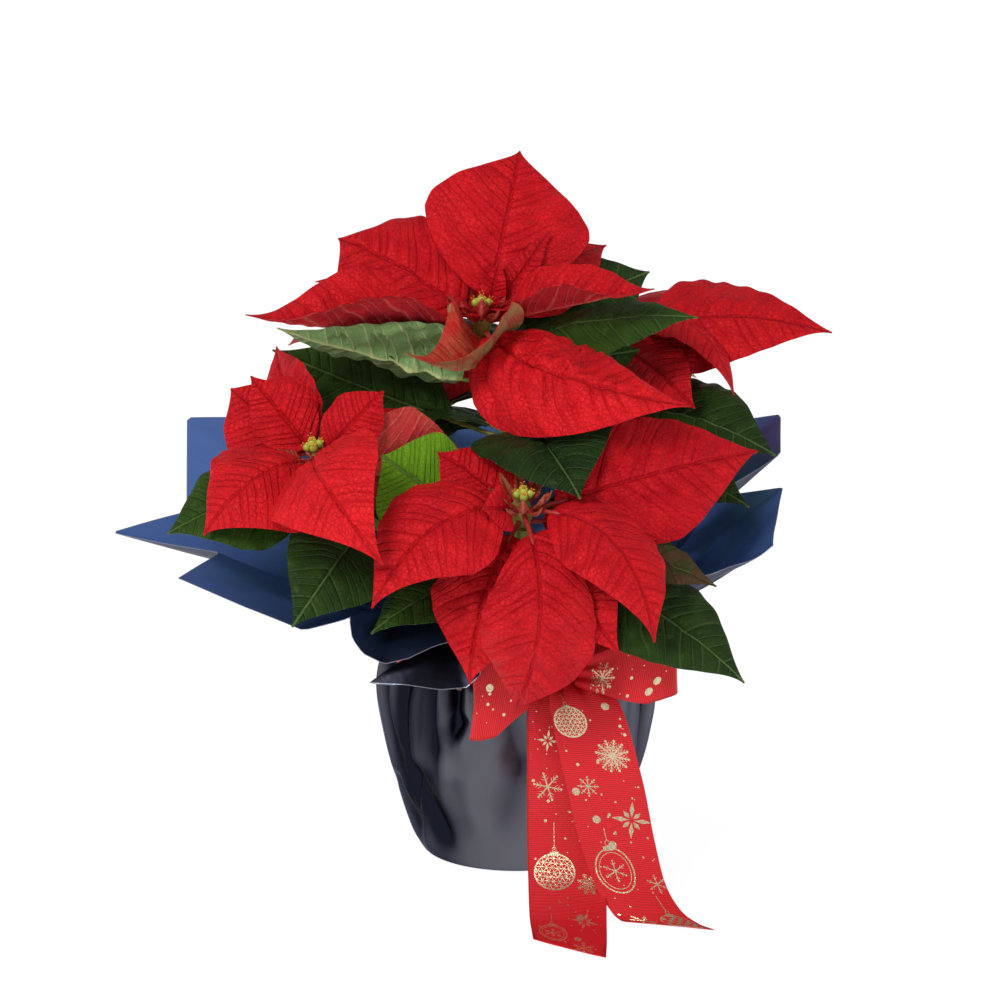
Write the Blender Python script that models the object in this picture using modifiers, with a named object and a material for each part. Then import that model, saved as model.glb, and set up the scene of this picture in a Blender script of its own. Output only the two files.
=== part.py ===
# Potted poinsettia in gathered florist film, tied with a wide ribbon bow.
# Tables are in millimetres, the model is in metres, +Z is up and +Y points to the back.
# The origin is the middle of the flat base, on the surface that the pot stands on.

import math

import bmesh
import bpy
import numpy as np
from mathutils import Vector
from mathutils.bvhtree import BVHTree

# Driving dimensions
MM = 0.001
GAP = 0.3
POT_RIM_RADIUS = 63.0
POT_BASE_RADIUS = 42.0
POT_HEIGHT = 107.0
POT_WALL = 1.6
FILM = 0.8
NECK_RADIUS = 66.0
NECK_LOW = 104.0
NECK_HIGH = 118.0
POT_BAND = 12.0
POT_STEP = 2.2
POT_LEDGE = 2.0
POT_SHOULDER = 0.5
POT_FOOT = 1.0
SOIL_GAP = 0.45
COLLAR_RUN = 12.0
CREASE_REACH = 26.0
RIBBON_WIDTH = 38.0
RIBBON = 0.7
RIBBON_STEPS = 13
TURN_STEPS = 24
BAND_STEPS = 28
BAND_SWELL = 0.6
LOOP_PINCH = 0.34
LOOP_OPENING = 2.6
BLADE = 0.8
STALK = 1.3
TIP = 0.5
HUB_RADIUS = 4.6
HUB_DROP = 8.0
SOIL_TOP = 97.0
TRUNK_RADIUS = 4.5
TRUNK_ROOT = 64.0
TRUNK_TOP = 152.0
RIPPLE = 1.6
RIPPLES = 1.6
RIPPLE_SHIFT = 2.2

# How finely each kind of blade is split, along and across
BLADE_ROWS = (0.0, 0.14, 0.34, 0.56, 0.8, 1.0)
BACK_ROWS = (0.0, 0.18, 0.46, 0.76, 1.0)
BACK_FROM = 60.0
SMALL_ROWS = (0.0, 0.3, 0.65, 1.0)
BLADE_COLUMNS = (-1.0, -0.5, 0.0, 0.5, 1.0)
BACK_COLUMNS = (-1.0, 0.0, 1.0)
SMALL_COLUMNS = (-1.0, 1.0)

RED = (0.72, 0.012, 0.018, 1.0)
GREEN = (0.035, 0.11, 0.03, 1.0)
BUD = (0.42, 0.5, 0.06, 1.0)
CHARCOAL = (0.035, 0.038, 0.048, 1.0)
RIBBON_RED = (0.62, 0.012, 0.02, 1.0)
PEAT = (0.05, 0.03, 0.018, 1.0)
POT_BROWN = (0.2, 0.07, 0.035, 1.0)

# Each branch leaves the trunk at a height and ends under its flower head
BRANCHES = {
    "top": dict(start=(0, 0, 150), bow=(4, 6, 205), hub=(-17, 0, 272), axis=(0, -0.25, 1)),
    "left": dict(start=(0, 0, 128), bow=(-48, -18, 158), hub=(-96, -55, 212), axis=(-0.3, -0.5, 1)),
    "front": dict(start=(0, 0, 120), bow=(-2, -52, 140), hub=(3, -84, 194), axis=(0, -0.5, 1)),
    "right": dict(start=(0, 0, 136), bow=(38, 26, 176), hub=(52, 56, 258), axis=(0.3, 0.15, 1)),
    "back": dict(start=(0, 0, 142), bow=(-34, 44, 176), hub=(-56, 72, 236), axis=(-0.3, 0.5, 1)),
}
STEM_RADIUS = 2.7

# Red bracts: the tip's place, the way the upper side faces, how far below the head it leaves, and its form
BRACTS = {
    "top": [
        dict(tip=(2, 46, 349), face=(0.15, -1, 0.5), width=75, arch=0.06, fold=6,
             curl=-8, low=3, out=4, lobe=(3, 5), widest=0.55),
        dict(tip=(-132, -24, 277), face=(0, -0.2, 1), width=62,
             arch=-0.04, fold=60, curl=-8, low=5, out=3.5, stalk=0.05),
        dict(tip=(67, -26, 290), face=(0.1, -0.3, 1), width=46,
             arch=0.0, fold=54, curl=-8, low=2, out=3.5, stalk=0.05),
        dict(tip=(83, -70, 240), face=(0.2, -1, 0.7), width=68, arch=0.14,
             fold=-14, curl=-14, widest=0.36, low=7, stalk=0.06, sweep=0.16),
        dict(tip=(-54, -46, 262), face=(0.1, 0.2, 1), width=68, arch=-0.16,
             fold=58, curl=8, low=9, out=-3, widest=0.28, stalk=0.05, sweep=-0.26),
        dict(tip=(-89, 30, 307), face=(-0.1, -0.9, 0.9), width=66,
             arch=0.1, fold=4, curl=-12, low=4, widest=0.6),
        dict(tip=(-105, 50, 284), face=(-0.2, -0.4, 1), width=48, arch=0.1, fold=14, curl=-8, low=9),
        dict(tip=(46, 56, 300), face=(0.2, -0.6, 1), width=44, arch=0.1, fold=6, curl=-12, low=6),
        dict(tip=(-38, 90, 286), face=(0, 0.3, 1), width=58, arch=0.12, fold=6, curl=-12, low=8),
        dict(tip=(18, 88, 284), face=(0.1, 0.4, 1), width=50, arch=0.12, fold=6, curl=-12, low=10),
        dict(tip=(-8, 6, 299), face=(0.2, -1, 0.3), width=12, fold=10, low=2, out=4, stalk=0.1),
        dict(tip=(17, 10, 314), face=(0.1, -1, 0.4), width=13, fold=10, low=2, out=4, stalk=0.1),
    ],
    "left": [
        dict(tip=(-62, -134, 177), face=(-0.5, -1, 0.8), width=62, arch=0.3,
             fold=0, curl=-8, low=2, widest=0.36, stalk=0.06),
        dict(tip=(-149, -88, 181), face=(-0.3, -0.9, 0.7), width=64, arch=0.27, fold=-6, curl=-14, low=4),
        dict(tip=(-64, -52, 244), face=(0.1, -1, 0.5), width=27,
             arch=0.14, fold=4, curl=-10, low=2, widest=0.55),
        dict(tip=(-140, -22, 240), face=(-0.2, -1, 0.6), width=50,
             arch=0.08, fold=4, curl=-12, low=4, widest=0.5),
        dict(tip=(-127, -34, 250), face=(-0.1, -1, 0.4), width=30, arch=0.05, fold=8, curl=-8, low=1),
        dict(tip=(-20, -36, 206), face=(-0.1, 0.9, 0.3), width=64,
             arch=-0.14, fold=12, curl=14, low=6, widest=0.45),
        dict(tip=(-120, 18, 254), face=(-0.7, 0.1, 0.6), width=34, arch=0.06, fold=14, curl=-8, low=8),
        dict(tip=(-60, 18, 222), face=(0, 0.2, 1), width=44, arch=0.12, fold=6, curl=-12, low=8),
    ],
    "front": [
        dict(tip=(0, -108, 101), face=(0.05, -1, 0.3), width=56,
             arch=0.4, fold=-4, curl=-14, sweep=-0.08, low=2, widest=0.66),
        dict(tip=(64, -134, 140), face=(0.35, -1, 0.6), width=48,
             arch=0.22, fold=-4, curl=-14, low=2, sweep=-0.1),
        dict(tip=(-68, -124, 154), face=(-0.3, -1, 0.8), width=58,
             arch=0.2, sweep=0.08, fold=4, curl=-14, low=1, widest=0.34),
        dict(tip=(117, -48, 214), face=(0.1, -1, 0.6), width=62,
             arch=0.06, fold=2, curl=-8, low=4, lobe=(0, 3)),
        dict(tip=(-22, -118, 117), face=(-0.5, -1, 0.3), width=58, arch=0.16, fold=4, curl=-12, low=6),
        dict(tip=(48, -122, 132), face=(0.2, -1, 0.3), width=46, arch=0.14, fold=4, curl=-10, low=8),
        dict(tip=(70, -84, 178), face=(0.1, -0.7, 1), width=30, arch=0.08, fold=10, curl=-8, low=9),
        dict(tip=(-16, -106, 198), face=(0, -1, 0.4), width=22,
             arch=0.04, fold=14, curl=0, stalk=0.3, low=2),
        dict(tip=(-38, -62, 216), face=(-0.1, -0.8, 0.8), width=40, arch=0.08, fold=6, curl=-8, low=5),
    ],
    "right": [
        dict(tip=(160, 38, 258), face=(0.05, -0.9, 0.9), width=58,
             arch=0.12, fold=-6, curl=-10, low=1, widest=0.26),
        dict(tip=(109, 8, 231), face=(0.5, -0.3, 1), width=34, arch=0.3, fold=-16, curl=-10, low=3),
        dict(tip=(84, 4, 226), face=(0.2, -1, 0.4), width=56,
             arch=0.06, fold=6, curl=-10, lobe=(0, 6), low=6),
        dict(tip=(88, -16, 229), face=(0.2, -0.8, 0.7), width=34, arch=0.08, fold=8, curl=-8, low=9),
        dict(tip=(128, 92, 258), face=(0.3, 0.3, 1), width=52, arch=0.14, fold=6, curl=-12, low=4),
        dict(tip=(82, 146, 248), face=(0, 0.6, 1), width=56, arch=0.14, fold=6, curl=-14, low=2),
        dict(tip=(18, 118, 256), face=(-0.2, 0.5, 1), width=50, arch=0.12, fold=8, curl=-10, low=5),
    ],
    "back": [
        dict(tip=(-118, 88, 228), face=(-0.3, -0.1, 1), width=50, arch=0.14, fold=6, curl=-12, low=3),
        dict(tip=(-122, 134, 226), face=(-0.3, 0.5, 1), width=54, arch=0.14, fold=6, curl=-14, low=6),
        dict(tip=(-62, 162, 226), face=(0, 0.7, 1), width=58, arch=0.14, fold=4, curl=-14, low=2),
        dict(tip=(-6, 128, 222), face=(0.3, 0.5, 1), width=52, arch=0.12, fold=8, curl=-10, low=5),
        dict(tip=(-104, 28, 240), face=(-0.2, -0.5, 1), width=38, arch=0.1, fold=10, curl=-8, low=6),
        dict(tip=(-16, 20, 234), face=(0.1, -0.9, 0.6), width=54, arch=0.08, fold=8, curl=-8, low=7),
    ],
}

# Small pink-red bracts standing round the buds of each head: turn, lean and length
BRACTLETS = ((20, 38, 15), (140, 44, 13), (255, 34, 17))
# Buds: one in the middle and a ring round it
BUD_RING = 4
BUD_RADIUS = 2.5
BUD_HEIGHT = 1.3
BUD_STRETCH = 1.3
# The ring's buds: their share of the middle bud's size, then how far out, how high and how leaning they are
RING_SHARE = 0.88
RING_OUT = 2.8
RING_HEIGHT = 0.95
RING_STAGGER = 0.5
RING_TURN = 0.4
RING_LEAN = 0.5

# Green leaves: the branch, how far up it the stalk leaves, then the form
LEAVES = [
    dict(on="top", at=0.5, tip=(28, -98, 206), face=(-0.15, -0.8, 0.9), width=72,
         arch=0.12, fold=30, curl=-16, stalk=0.42, widest=0.3),
    dict(on="top", at=0.68, tip=(-117, -8, 272), face=(0.05, 0.8, 0.6), width=58,
         arch=-0.02, fold=30, curl=-8, stalk=0.14, widest=0.26),
    dict(on="top", at=0.42, tip=(-122.5, 20, 253.5), face=(0, -1, 0.4),
         width=46, arch=-0.06, fold=6, curl=-8, stalk=0.24),
    dict(on="top", at=0.88, tip=(89, -14, 274), face=(0.1, -0.7, 1), width=48, arch=0.08, fold=-6, curl=-10),
    dict(on="top", at=0.9, tip=(64.5, 50, 300.4), face=(0.1, -1, 0.5),
         width=50, arch=0.08, fold=8, curl=-10, stalk=0.2),
    dict(on="top", at=0.7, tip=(62, 20, 252), face=(0.2, -0.8, 0.6),
         width=40, arch=0.1, fold=8, curl=-10, stalk=0.3),
    dict(on="front", at=0.7, tip=(-65, -60, 214), face=(-0.1, -1, 0.3), width=50,
         arch=0.0, fold=8, curl=-8, stalk=0.5, widest=0.55),
    dict(on="left", at=0.88, tip=(-167, -78, 182), face=(-0.2, -0.9, 0.8),
         width=58, arch=0.12, fold=6, curl=-14, stalk=0.2),
    dict(on="left", at=0.6, tip=(-106, -112, 142), face=(0, -1, 0.5),
         width=50, arch=0.2, fold=10, curl=-10, stalk=0.3),
    dict(on="front", at=0.35, tip=(-62, -106, 146), face=(-0.2, -0.6, 1),
         width=40, arch=0.16, fold=6, curl=-12, stalk=0.3),
    dict(on="front", at=0.55, tip=(104, -122, 118), face=(0.4, -0.9, 0.8),
         width=54, arch=0.16, fold=6, curl=-12, stalk=0.3),
    dict(on="front", at=0.75, tip=(95, -92, 157), face=(0.3, -0.8, 0.8),
         width=32, arch=0.12, fold=10, curl=-10, stalk=0.3),
    dict(on="right", at=0.6, tip=(128, -20, 206), face=(0.3, -0.9, 0.7),
         width=62, arch=0.16, fold=6, curl=-12, stalk=0.2),
    dict(on="right", at=0.4, tip=(114, -38, 184), face=(0.3, -0.7, 0.9),
         width=50, arch=0.14, fold=6, curl=-12, stalk=0.25),
    dict(on="right", at=0.65, tip=(114, 66, 212), face=(0.3, 0.2, 1),
         width=50, arch=0.16, fold=6, curl=-14, stalk=0.2),
    dict(on="right", at=0.55, tip=(92, 128, 202), face=(0.2, 0.7, 1),
         width=52, arch=0.16, fold=6, curl=-14, stalk=0.2),
    dict(on="right", at=0.75, tip=(10, 108, 228), face=(-0.2, 0.5, 1),
         width=44, arch=0.14, fold=6, curl=-12, stalk=0.2),
    dict(on="back", at=0.5, tip=(-142, 40, 206), face=(-0.3, 0, 1),
         width=52, arch=0.14, fold=6, curl=-14, stalk=0.2),
    dict(on="back", at=0.6, tip=(-134, 112, 194), face=(-0.3, 0.6, 1),
         width=52, arch=0.16, fold=6, curl=-14, stalk=0.2),
    dict(on="back", at=0.5, tip=(-50, 150, 184), face=(0, 0.8, 1),
         width=54, arch=0.16, fold=6, curl=-14, stalk=0.2),
    dict(on="back", at=0.7, tip=(20, 142, 200), face=(0.3, 0.7, 1),
         width=46, arch=0.14, fold=6, curl=-12, stalk=0.2),
    dict(on="front", at=0.6, tip=(52, -56, 184), face=(0.2, -0.9, 0.6),
         width=44, arch=0.1, fold=6, curl=-10, stalk=0.3),
    dict(on="top", at=0.6, tip=(-44, 98, 240), face=(-0.1, 0.5, 1),
         width=52, arch=0.14, fold=6, curl=-12, stalk=0.24),
    dict(on="top", at=0.7, tip=(34, 94, 246), face=(0.1, 0.5, 1),
         width=50, arch=0.14, fold=6, curl=-12, stalk=0.24),
    dict(on="back", at=0.35, tip=(-98, 146, 182), face=(-0.2, 0.8, 1),
         width=50, arch=0.16, fold=6, curl=-12, stalk=0.24),
    dict(on="right", at=0.4, tip=(48, 140, 186), face=(0.1, 0.8, 1),
         width=50, arch=0.16, fold=6, curl=-12, stalk=0.24),
    dict(on="right", at=0.3, tip=(104, 22, 184), face=(0.3, 0, 1),
         width=48, arch=0.16, fold=6, curl=-10, plain=True),
    dict(on="left", at=0.35, tip=(-92, 14, 190), face=(-0.3, 0, 1),
         width=48, arch=0.16, fold=6, curl=-10, plain=True),
    dict(on="top", at=0.35, tip=(58, -34, 222), face=(0.2, -0.4, 1),
         width=44, arch=0.12, fold=6, curl=-10, plain=True),
    dict(on="top", at=0.45, tip=(-62, 34, 226), face=(-0.2, 0.2, 1),
         width=44, arch=0.12, fold=6, curl=-10, plain=True),
    dict(on="top", at=0.3, tip=(46, 62, 214), face=(0.2, 0.3, 1),
         width=46, arch=0.12, fold=6, curl=-10, plain=True),
    dict(on="left", at=0.5, tip=(-120, -30, 196), face=(-0.2, -0.3, 1),
         width=42, arch=0.12, fold=6, curl=-10, plain=True),
    dict(on="front", at=0.45, tip=(-46, -60, 182), face=(-0.2, -0.9, 0.6),
         width=44, arch=0.1, fold=6, curl=-10, stalk=0.3),
]

# Film bag: radius and height of each ring, from the base to the tie
BAG_RINGS = ((10, 0), (43, 0), (48.5, 3), (57.5, 26), (65.5, 52), (70, 80), (69, 97))
BAG_COLUMNS = 49
COLLAR_STEPS = 4
# Creases in the bag: bearing, half width, depth, and the height of the deepest place
CREASES = ((238, 7, 3.2, 60), (226, 6, 2.6, 74), (214, 8, 2.4, 40), (196, 9, 2, 66), (252, 10, 2.2, 30),
           (290, 11, 1.8, 54), (325, 10, 2.2, 62), (10, 10, 2.2, 48), (52, 9, 2.4, 66), (96, 10, 2.2, 52),
           (140, 9, 2.6, 64), (170, 8, 2.2, 46))

# Free edge of the film: bearing at the tie, the edge's place, how high it lifts before it flares
FILM_EDGE = (
    (276, (6, -80, 133), 12), (269, (-24, -76, 111), 6), (264, (-44, -88, 109), 6),
    (260, (-60, -93, 108), 6), (256.5, (-70, -99, 111), 24), (252, (-53.5, -101, 111), 26),
    (247, (-36.5, -101, 108.5), 28), (243, (-24, -100, 109.5), 29), (240, (-18, -99, 115), 30),
    (237, (-17, -98, 123), 31), (234, (-20, -98, 129.5), 32), (231.5, (-28, -99, 132.5), 34),
    (229, (-39, -100, 129.5), 35), (226.5, (-51.5, -101, 123.5), 36), (224, (-63, -102, 121), 34),
    (221, (-73, -102, 126.5), 30), (218.5, (-77.5, -102, 134), 24), (216, (-78.5, -101, 145), 18),
    (211, (-101, -108, 140), 12), (204, (-128, -112, 151), 12),
    (198, (-160, -110, 164), 12), (190, (-144, -52, 164), 10), (182, (-201, -10, 166), 10),
    (172, (-168, 34, 166), 12), (164, (-172, 90, 204), 20), (150, (-118, 104, 202), 26),
    (138, (-84, 150, 214), 22), (118, (-38, 122, 186), 22), (102, (-4, 162, 206), 20),
    (80, (34, 122, 186), 22), (62, (78, 148, 212), 22), (48, (98, 106, 196), 24),
    (38, (138, 70, 209), 20), (32, (136, 50, 193), 16), (21, (98, 22, 176), 14), (10, (133, 0, 186), 14),
    (0, (129, -28, 177), 12), (348, (125, -55, 168), 12), (325, (94, -74, 158), 12),
    (305, (60, -78, 150), 12), (288, (34, -77, 137), 12),
)

KNOT = (23, -71, 109)
KNOT_SIZE = (17, 16, 22)
# Ribbon tails: the left edge and the right edge, from the knot to the cut end on the floor
TAILS = {
    "left_tail": (
        ((15, -75, 106), (6, -82, 96), (5, -88, 64), (5, -96, 38), (5.5, -108, 17), (6, -126, 4.5),
         (7, -140, 1.1), (7.5, -149, 0.5)),
        ((30, -75, 106), (42, -82, 94), (43, -89, 64), (43, -97, 38), (43, -110, 17), (42.5, -132, 4.5),
         (42, -154, 1.1), (41, -175, 0.5)),
    ),
    "right_tail": (
        ((17, -78, 107), (16, -89, 97), (23, -96, 62), (31, -107, 32), (38, -116, 15), (45, -122, 5),
         (48.5, -124, 1.8), (51, -125, 0.9)),
        ((35, -78, 107), (49, -88, 99), (60, -95, 64), (66, -104, 35), (71, -113, 16), (78, -123, 6),
         (86, -131, 2), (93, -137, 0.9)),
    ),
}
# Ribbon loops: the middle line, out along the back and home along the front
LOOPS = {
    "left_loop": ((17, -74, 107), (-3, -80, 103), (-16, -83, 99), (-21, -86, 99), (-18, -90, 100),
                  (-5, -88, 103), (15, -78, 108)),
    "right_loop": ((29, -75, 111), (48, -83, 120), (66, -89, 125), (75, -94, 125), (72, -100, 123),
                   (52, -100, 118), (29, -81, 111)),
}


def vec(values):
    return np.array(values, float)


def unit(v):
    return v / np.linalg.norm(v)


def smooth_line(points, count):
    """Points evenly spaced in parameter on a smooth curve through the given ones."""
    points = vec(points)
    padded = np.vstack([2 * points[0] - points[1], points, 2 * points[-1] - points[-2]])
    found = []
    for step in np.linspace(0, len(points) - 1, count):
        i = min(int(step), len(points) - 2)
        t = step - i
        a, b, c, d = padded[i:i + 4]
        bend, twist = 2 * a - 5 * b + 4 * c - d, 3 * b - a - 3 * c + d
        found.append(0.5 * (2 * b + (c - a) * t + bend * t ** 2 + twist * t ** 3))
    return np.array(found)


def branch_line(branch, count=7):
    """The middle line of a branch, ending just under its head."""
    axis = unit(vec(branch["axis"]))
    end = vec(branch["hub"]) - axis * (HUB_DROP + HUB_RADIUS + GAP)
    start, bow = vec(branch["start"]), vec(branch["bow"])
    below = end - axis * 0.3 * np.linalg.norm(end - bow)
    t = np.linspace(0, 1, count)[:, None]
    return (1 - t) ** 3 * start + 3 * (1 - t) ** 2 * t * bow + 3 * (1 - t) * t ** 2 * below + t ** 3 * end


def blade_outline(t, widest):
    """Share of the full half width at a place t along the blade: round at the base, drawn out at the tip."""
    rising = np.clip(1 - t / widest, 0, 1)
    falling = np.clip((t - widest) / (1 - widest), 0, 1)
    return np.where(t < widest, (1 - rising ** 2.4) ** 0.75, (1 - falling ** 2.1) ** 1.6)


def blade_points(form, u, v, grow=0.0, lift_by=0.0):
    """Places on a blade's middle surface: u runs from root to tip, v from -1 to 1 across it."""
    root, tip = vec(form["root"]), vec(form["tip"])
    chord = tip - root
    length = np.linalg.norm(chord)
    along = chord / length
    face = unit(vec(form["face"]))
    lift = unit(face - (face @ along) * along)
    side = np.cross(along, lift)
    bend = length * (form.get("arch", 0) * lift + form.get("sweep", 0) * side)
    middle = root + chord * u[:, None] + 4 * (u * (1 - u))[:, None] * bend
    ahead = chord + 4 * (1 - 2 * u)[:, None] * bend
    ahead /= np.linalg.norm(ahead, axis=1)[:, None]
    up = lift - (ahead @ lift)[:, None] * ahead
    up /= np.linalg.norm(up, axis=1)[:, None]
    across = np.cross(ahead, up)
    stalk = form.get("stalk", 0.12)
    t = np.clip((u - stalk) / (1 - stalk), 0, 1)
    shape = blade_outline(t, form.get("widest", 0.42))
    half = STALK + (TIP - STALK) * t + form["width"] / 2 * shape
    left, right = form.get("lobe", (0, 0))
    corner = np.clip(1 - np.abs(t - 0.5) / 0.2, 0, 1)
    half = half + grow + corner * np.where(v < 0, left, right)
    fold = np.radians(form.get("fold", 0)) * shape
    curl = np.radians(form.get("curl", 0)) * 2 * shape
    curl = np.where(np.abs(curl) < 1e-4, 1e-4, curl)
    out = np.abs(v)
    flat = (np.sin(fold + curl * out) - np.sin(fold)) / curl
    rise = (np.cos(fold) - np.cos(fold + curl * out)) / curl
    phase = 2 * np.pi * RIPPLES * t + RIPPLE_SHIFT * (v > 0)
    ripple = form.get("wave", RIPPLE) * np.sin(phase) * out ** 2 * shape
    high = half * rise + ripple + lift_by
    return middle + across * (np.sign(v) * half * flat)[:, None] + up * high[:, None]


def blade_split(form):
    """The rows and columns of a blade: fewer at the back and inside the plant, fewest for a small one."""
    if form["width"] < 14:
        return SMALL_ROWS, SMALL_COLUMNS
    if form["tip"][1] > BACK_FROM or form.get("plain"):
        return BACK_ROWS, BACK_COLUMNS
    return BLADE_ROWS, BLADE_COLUMNS


def blade_grid(form, grow=0.0, lift_by=0.0, from_blade=False):
    """A blade's points, row by row, and its triangles."""
    stalk = form.get("stalk", 0.12)
    steps, columns = blade_split(form)
    rows = [0.0] + [stalk + (1 - stalk) * s for s in steps]
    if from_blade:
        rows = rows[2:]
    u, v = (g.ravel() for g in np.meshgrid(rows, columns, indexing="ij"))
    points = blade_points(form, u, v, grow, lift_by)
    wide = len(columns)
    faces = []
    for i in range(len(rows) - 1):
        for j in range(wide - 1):
            a = i * wide + j
            faces += [(a, a + 1, a + wide + 1), (a, a + wide + 1, a + wide)]
    return points, faces


def tree_of(points, faces):
    return BVHTree.FromPolygons([tuple(p) for p in points], faces)


# Settling: a blade that would cross another swings about its root, by the least that clears it.
PITCHES = range(-24, 25, 3)
YAWS = range(-18, 19, 3)
ROLLS = (-16, -8, 0, 8, 16)
ROLL_COST = 0.35
OWN_COST = 9
OTHER_COST = 1000
CLEARANCE = 0.9
GROW = 1.0


def effort_of(swing):
    """How far a swing moves a blade, in degrees. A roll counts for less."""
    pitch, yaw, roll = swing
    return math.hypot(pitch, yaw) + ROLL_COST * abs(roll)


def swings_by_effort():
    swings = [(pitch, yaw, roll) for pitch in PITCHES for yaw in YAWS for roll in ROLLS]
    return sorted(swings, key=lambda swing: (round(effort_of(swing), 3), swing))


def swung(form, pitch, yaw, roll):
    """The same blade with its tip swung up by pitch and round by yaw, and its face rolled, in degrees."""
    root, tip, face = vec(form["root"]), vec(form["tip"]), unit(vec(form["face"]))
    chord = tip - root
    level = unit(np.cross(chord, face))
    turn = rotation(level, pitch) @ rotation(face, yaw) @ rotation(unit(chord), roll)
    return dict(form, tip=tuple(root + turn @ chord), face=tuple(turn @ face))


def rotation(axis, degrees):
    a = math.radians(degrees)
    x, y, z = axis
    skew = np.array([[0, -z, y], [z, 0, -x], [-y, x, 0]])
    return np.eye(3) + math.sin(a) * skew + (1 - math.cos(a)) * skew @ skew


class Settler:
    """Keeps what is already in place and finds a clear pose for each further blade."""

    def __init__(self):
        self.placed = []
        self.swings = swings_by_effort()

    def add(self, node, points, faces, blade_from=0):
        """Records a surface. The part before blade_from, a stalk, is left out against the same node."""
        whole = tree_of(points, faces)
        own = [f for f in faces if min(f) >= blade_from]
        self.placed.append((node, whole, tree_of(points, own), points.min(0) - 1, points.max(0) + 1))

    def crossings(self, node, form):
        """For each surface that the blade would cross: whether it is of the blade's own node."""
        sheets = {}
        for part in (False, True):
            sheets[part] = [blade_grid(form, GROW, by, part) for by in (-CLEARANCE, 0.0, CLEARANCE)]
        low = np.min([p.min(0) for p, _ in sheets[False]], 0)
        high = np.max([p.max(0) for p, _ in sheets[False]], 0)
        trees, found = {}, []
        for other, whole, own, lowest, highest in self.placed:
            if (low > highest).any() or (high < lowest).any():
                continue
            same = other == node
            for k, (points, faces) in enumerate(sheets[same]):
                tree = trees.setdefault((same, k), tree_of(points, faces))
                if tree.overlap(own if same else whole):
                    found.append(same)
                    break
        return found

    def settle(self, node, form):
        """The blade in its clear pose, which is kept as in place from now on."""
        best, least = None, math.inf
        for swing in self.swings:
            if effort_of(swing) >= least:
                break
            tried = swung(form, *swing)
            crossed = self.crossings(node, tried)
            cost = effort_of(swing) + sum(OWN_COST if own else OTHER_COST for own in crossed)
            if cost < least:
                best, least = tried, cost
        points, faces = blade_grid(best)
        self.add(node, points, faces, 2 * len(blade_split(best)[1]))
        return best


def new_material(name, colour, roughness, metallic=0.0):
    material = bpy.data.materials.new(name)
    material.use_nodes = True
    shader = material.node_tree.nodes["Principled BSDF"]
    shader.inputs["Base Color"].default_value = colour
    shader.inputs["Roughness"].default_value = roughness
    shader.inputs["Metallic"].default_value = metallic
    return material


def link(obj, collection, material=None):
    for old in list(obj.users_collection):
        old.objects.unlink(obj)
    collection.objects.link(obj)
    if material is not None:
        obj.data.materials.clear()
        obj.data.materials.append(material)
    return obj


def grid_build(points, rows, columns, closed):
    """A grid primitive moved onto the given points, row by row. A closed one ends on its first column."""
    points = np.asarray(points).reshape(rows, columns, 3)
    if closed:
        points = np.concatenate([points, points[:, :1]], 1)
        columns += 1
    build = bmesh.new()
    bmesh.ops.create_grid(build, x_segments=columns - 1, y_segments=rows - 1, size=0.5)
    for vert in build.verts:
        j = round((vert.co.x + 0.5) * (columns - 1))
        i = round((vert.co.y + 0.5) * (rows - 1))
        vert.co = Vector(points[i, j]) * MM
    if closed:
        bmesh.ops.remove_doubles(build, verts=build.verts[:], dist=0.000001)
    return build


def sheet_object(name, build, thickness, offset, collection, material=None):
    """An open surface made a wall with Solidify. It is split into triangles first, so both faces match."""
    mesh = bpy.data.meshes.new(name)
    bmesh.ops.triangulate(build, faces=build.faces[:], quad_method="FIXED")
    build.to_mesh(mesh)
    build.free()
    mesh.shade_smooth()
    obj = bpy.data.objects.new(name, mesh)
    link(obj, collection, material)
    wall = obj.modifiers.new("Wall", "SOLIDIFY")
    wall.thickness = thickness * MM
    wall.offset = offset
    return obj


def blade_object(name, form, collection, material):
    points, _ = blade_grid(form)
    columns = len(blade_split(form)[1])
    build = grid_build(points, len(points) // columns, columns, False)
    return sheet_object(name, build, BLADE, 0, collection, material)


def ball_object(name, centre, radius, collection, segments=6, rings=4, stretch=1.0, axis=(0, 0, 1)):
    mesh = bpy.data.meshes.new(name)
    build = bmesh.new()
    bmesh.ops.create_uvsphere(build, u_segments=segments, v_segments=rings, radius=radius * MM)
    turn = Vector(axis).to_track_quat("Z", "Y").to_matrix()
    for vert in build.verts:
        vert.co.z *= stretch
        vert.co = turn @ vert.co + Vector(centre) * MM
    build.to_mesh(mesh)
    build.free()
    return link(bpy.data.objects.new(name, mesh), collection)


def tube_object(name, line, radius, collection):
    """A round stem along a line of points, made a closed mesh."""
    curve = bpy.data.curves.new(name, "CURVE")
    curve.dimensions = "3D"
    curve.bevel_depth = radius * MM
    curve.bevel_resolution = 1
    curve.use_fill_caps = True
    spline = curve.splines.new("POLY")
    spline.points.add(len(line) - 1)
    for point, place in zip(spline.points, line):
        point.co = (*(np.array(place) * MM), 1)
    rope = bpy.data.objects.new(name, curve)
    collection.objects.link(rope)
    bpy.context.view_layer.update()
    evaluated = rope.evaluated_get(bpy.context.evaluated_depsgraph_get())
    mesh = bpy.data.meshes.new_from_object(evaluated)
    bpy.data.objects.remove(rope)
    build = bmesh.new()
    build.from_mesh(mesh)
    bmesh.ops.remove_doubles(build, verts=build.verts[:], dist=0.00001)
    bmesh.ops.recalc_face_normals(build, faces=build.faces[:])
    build.to_mesh(mesh)
    build.free()
    return link(bpy.data.objects.new(name, mesh), collection)


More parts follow.
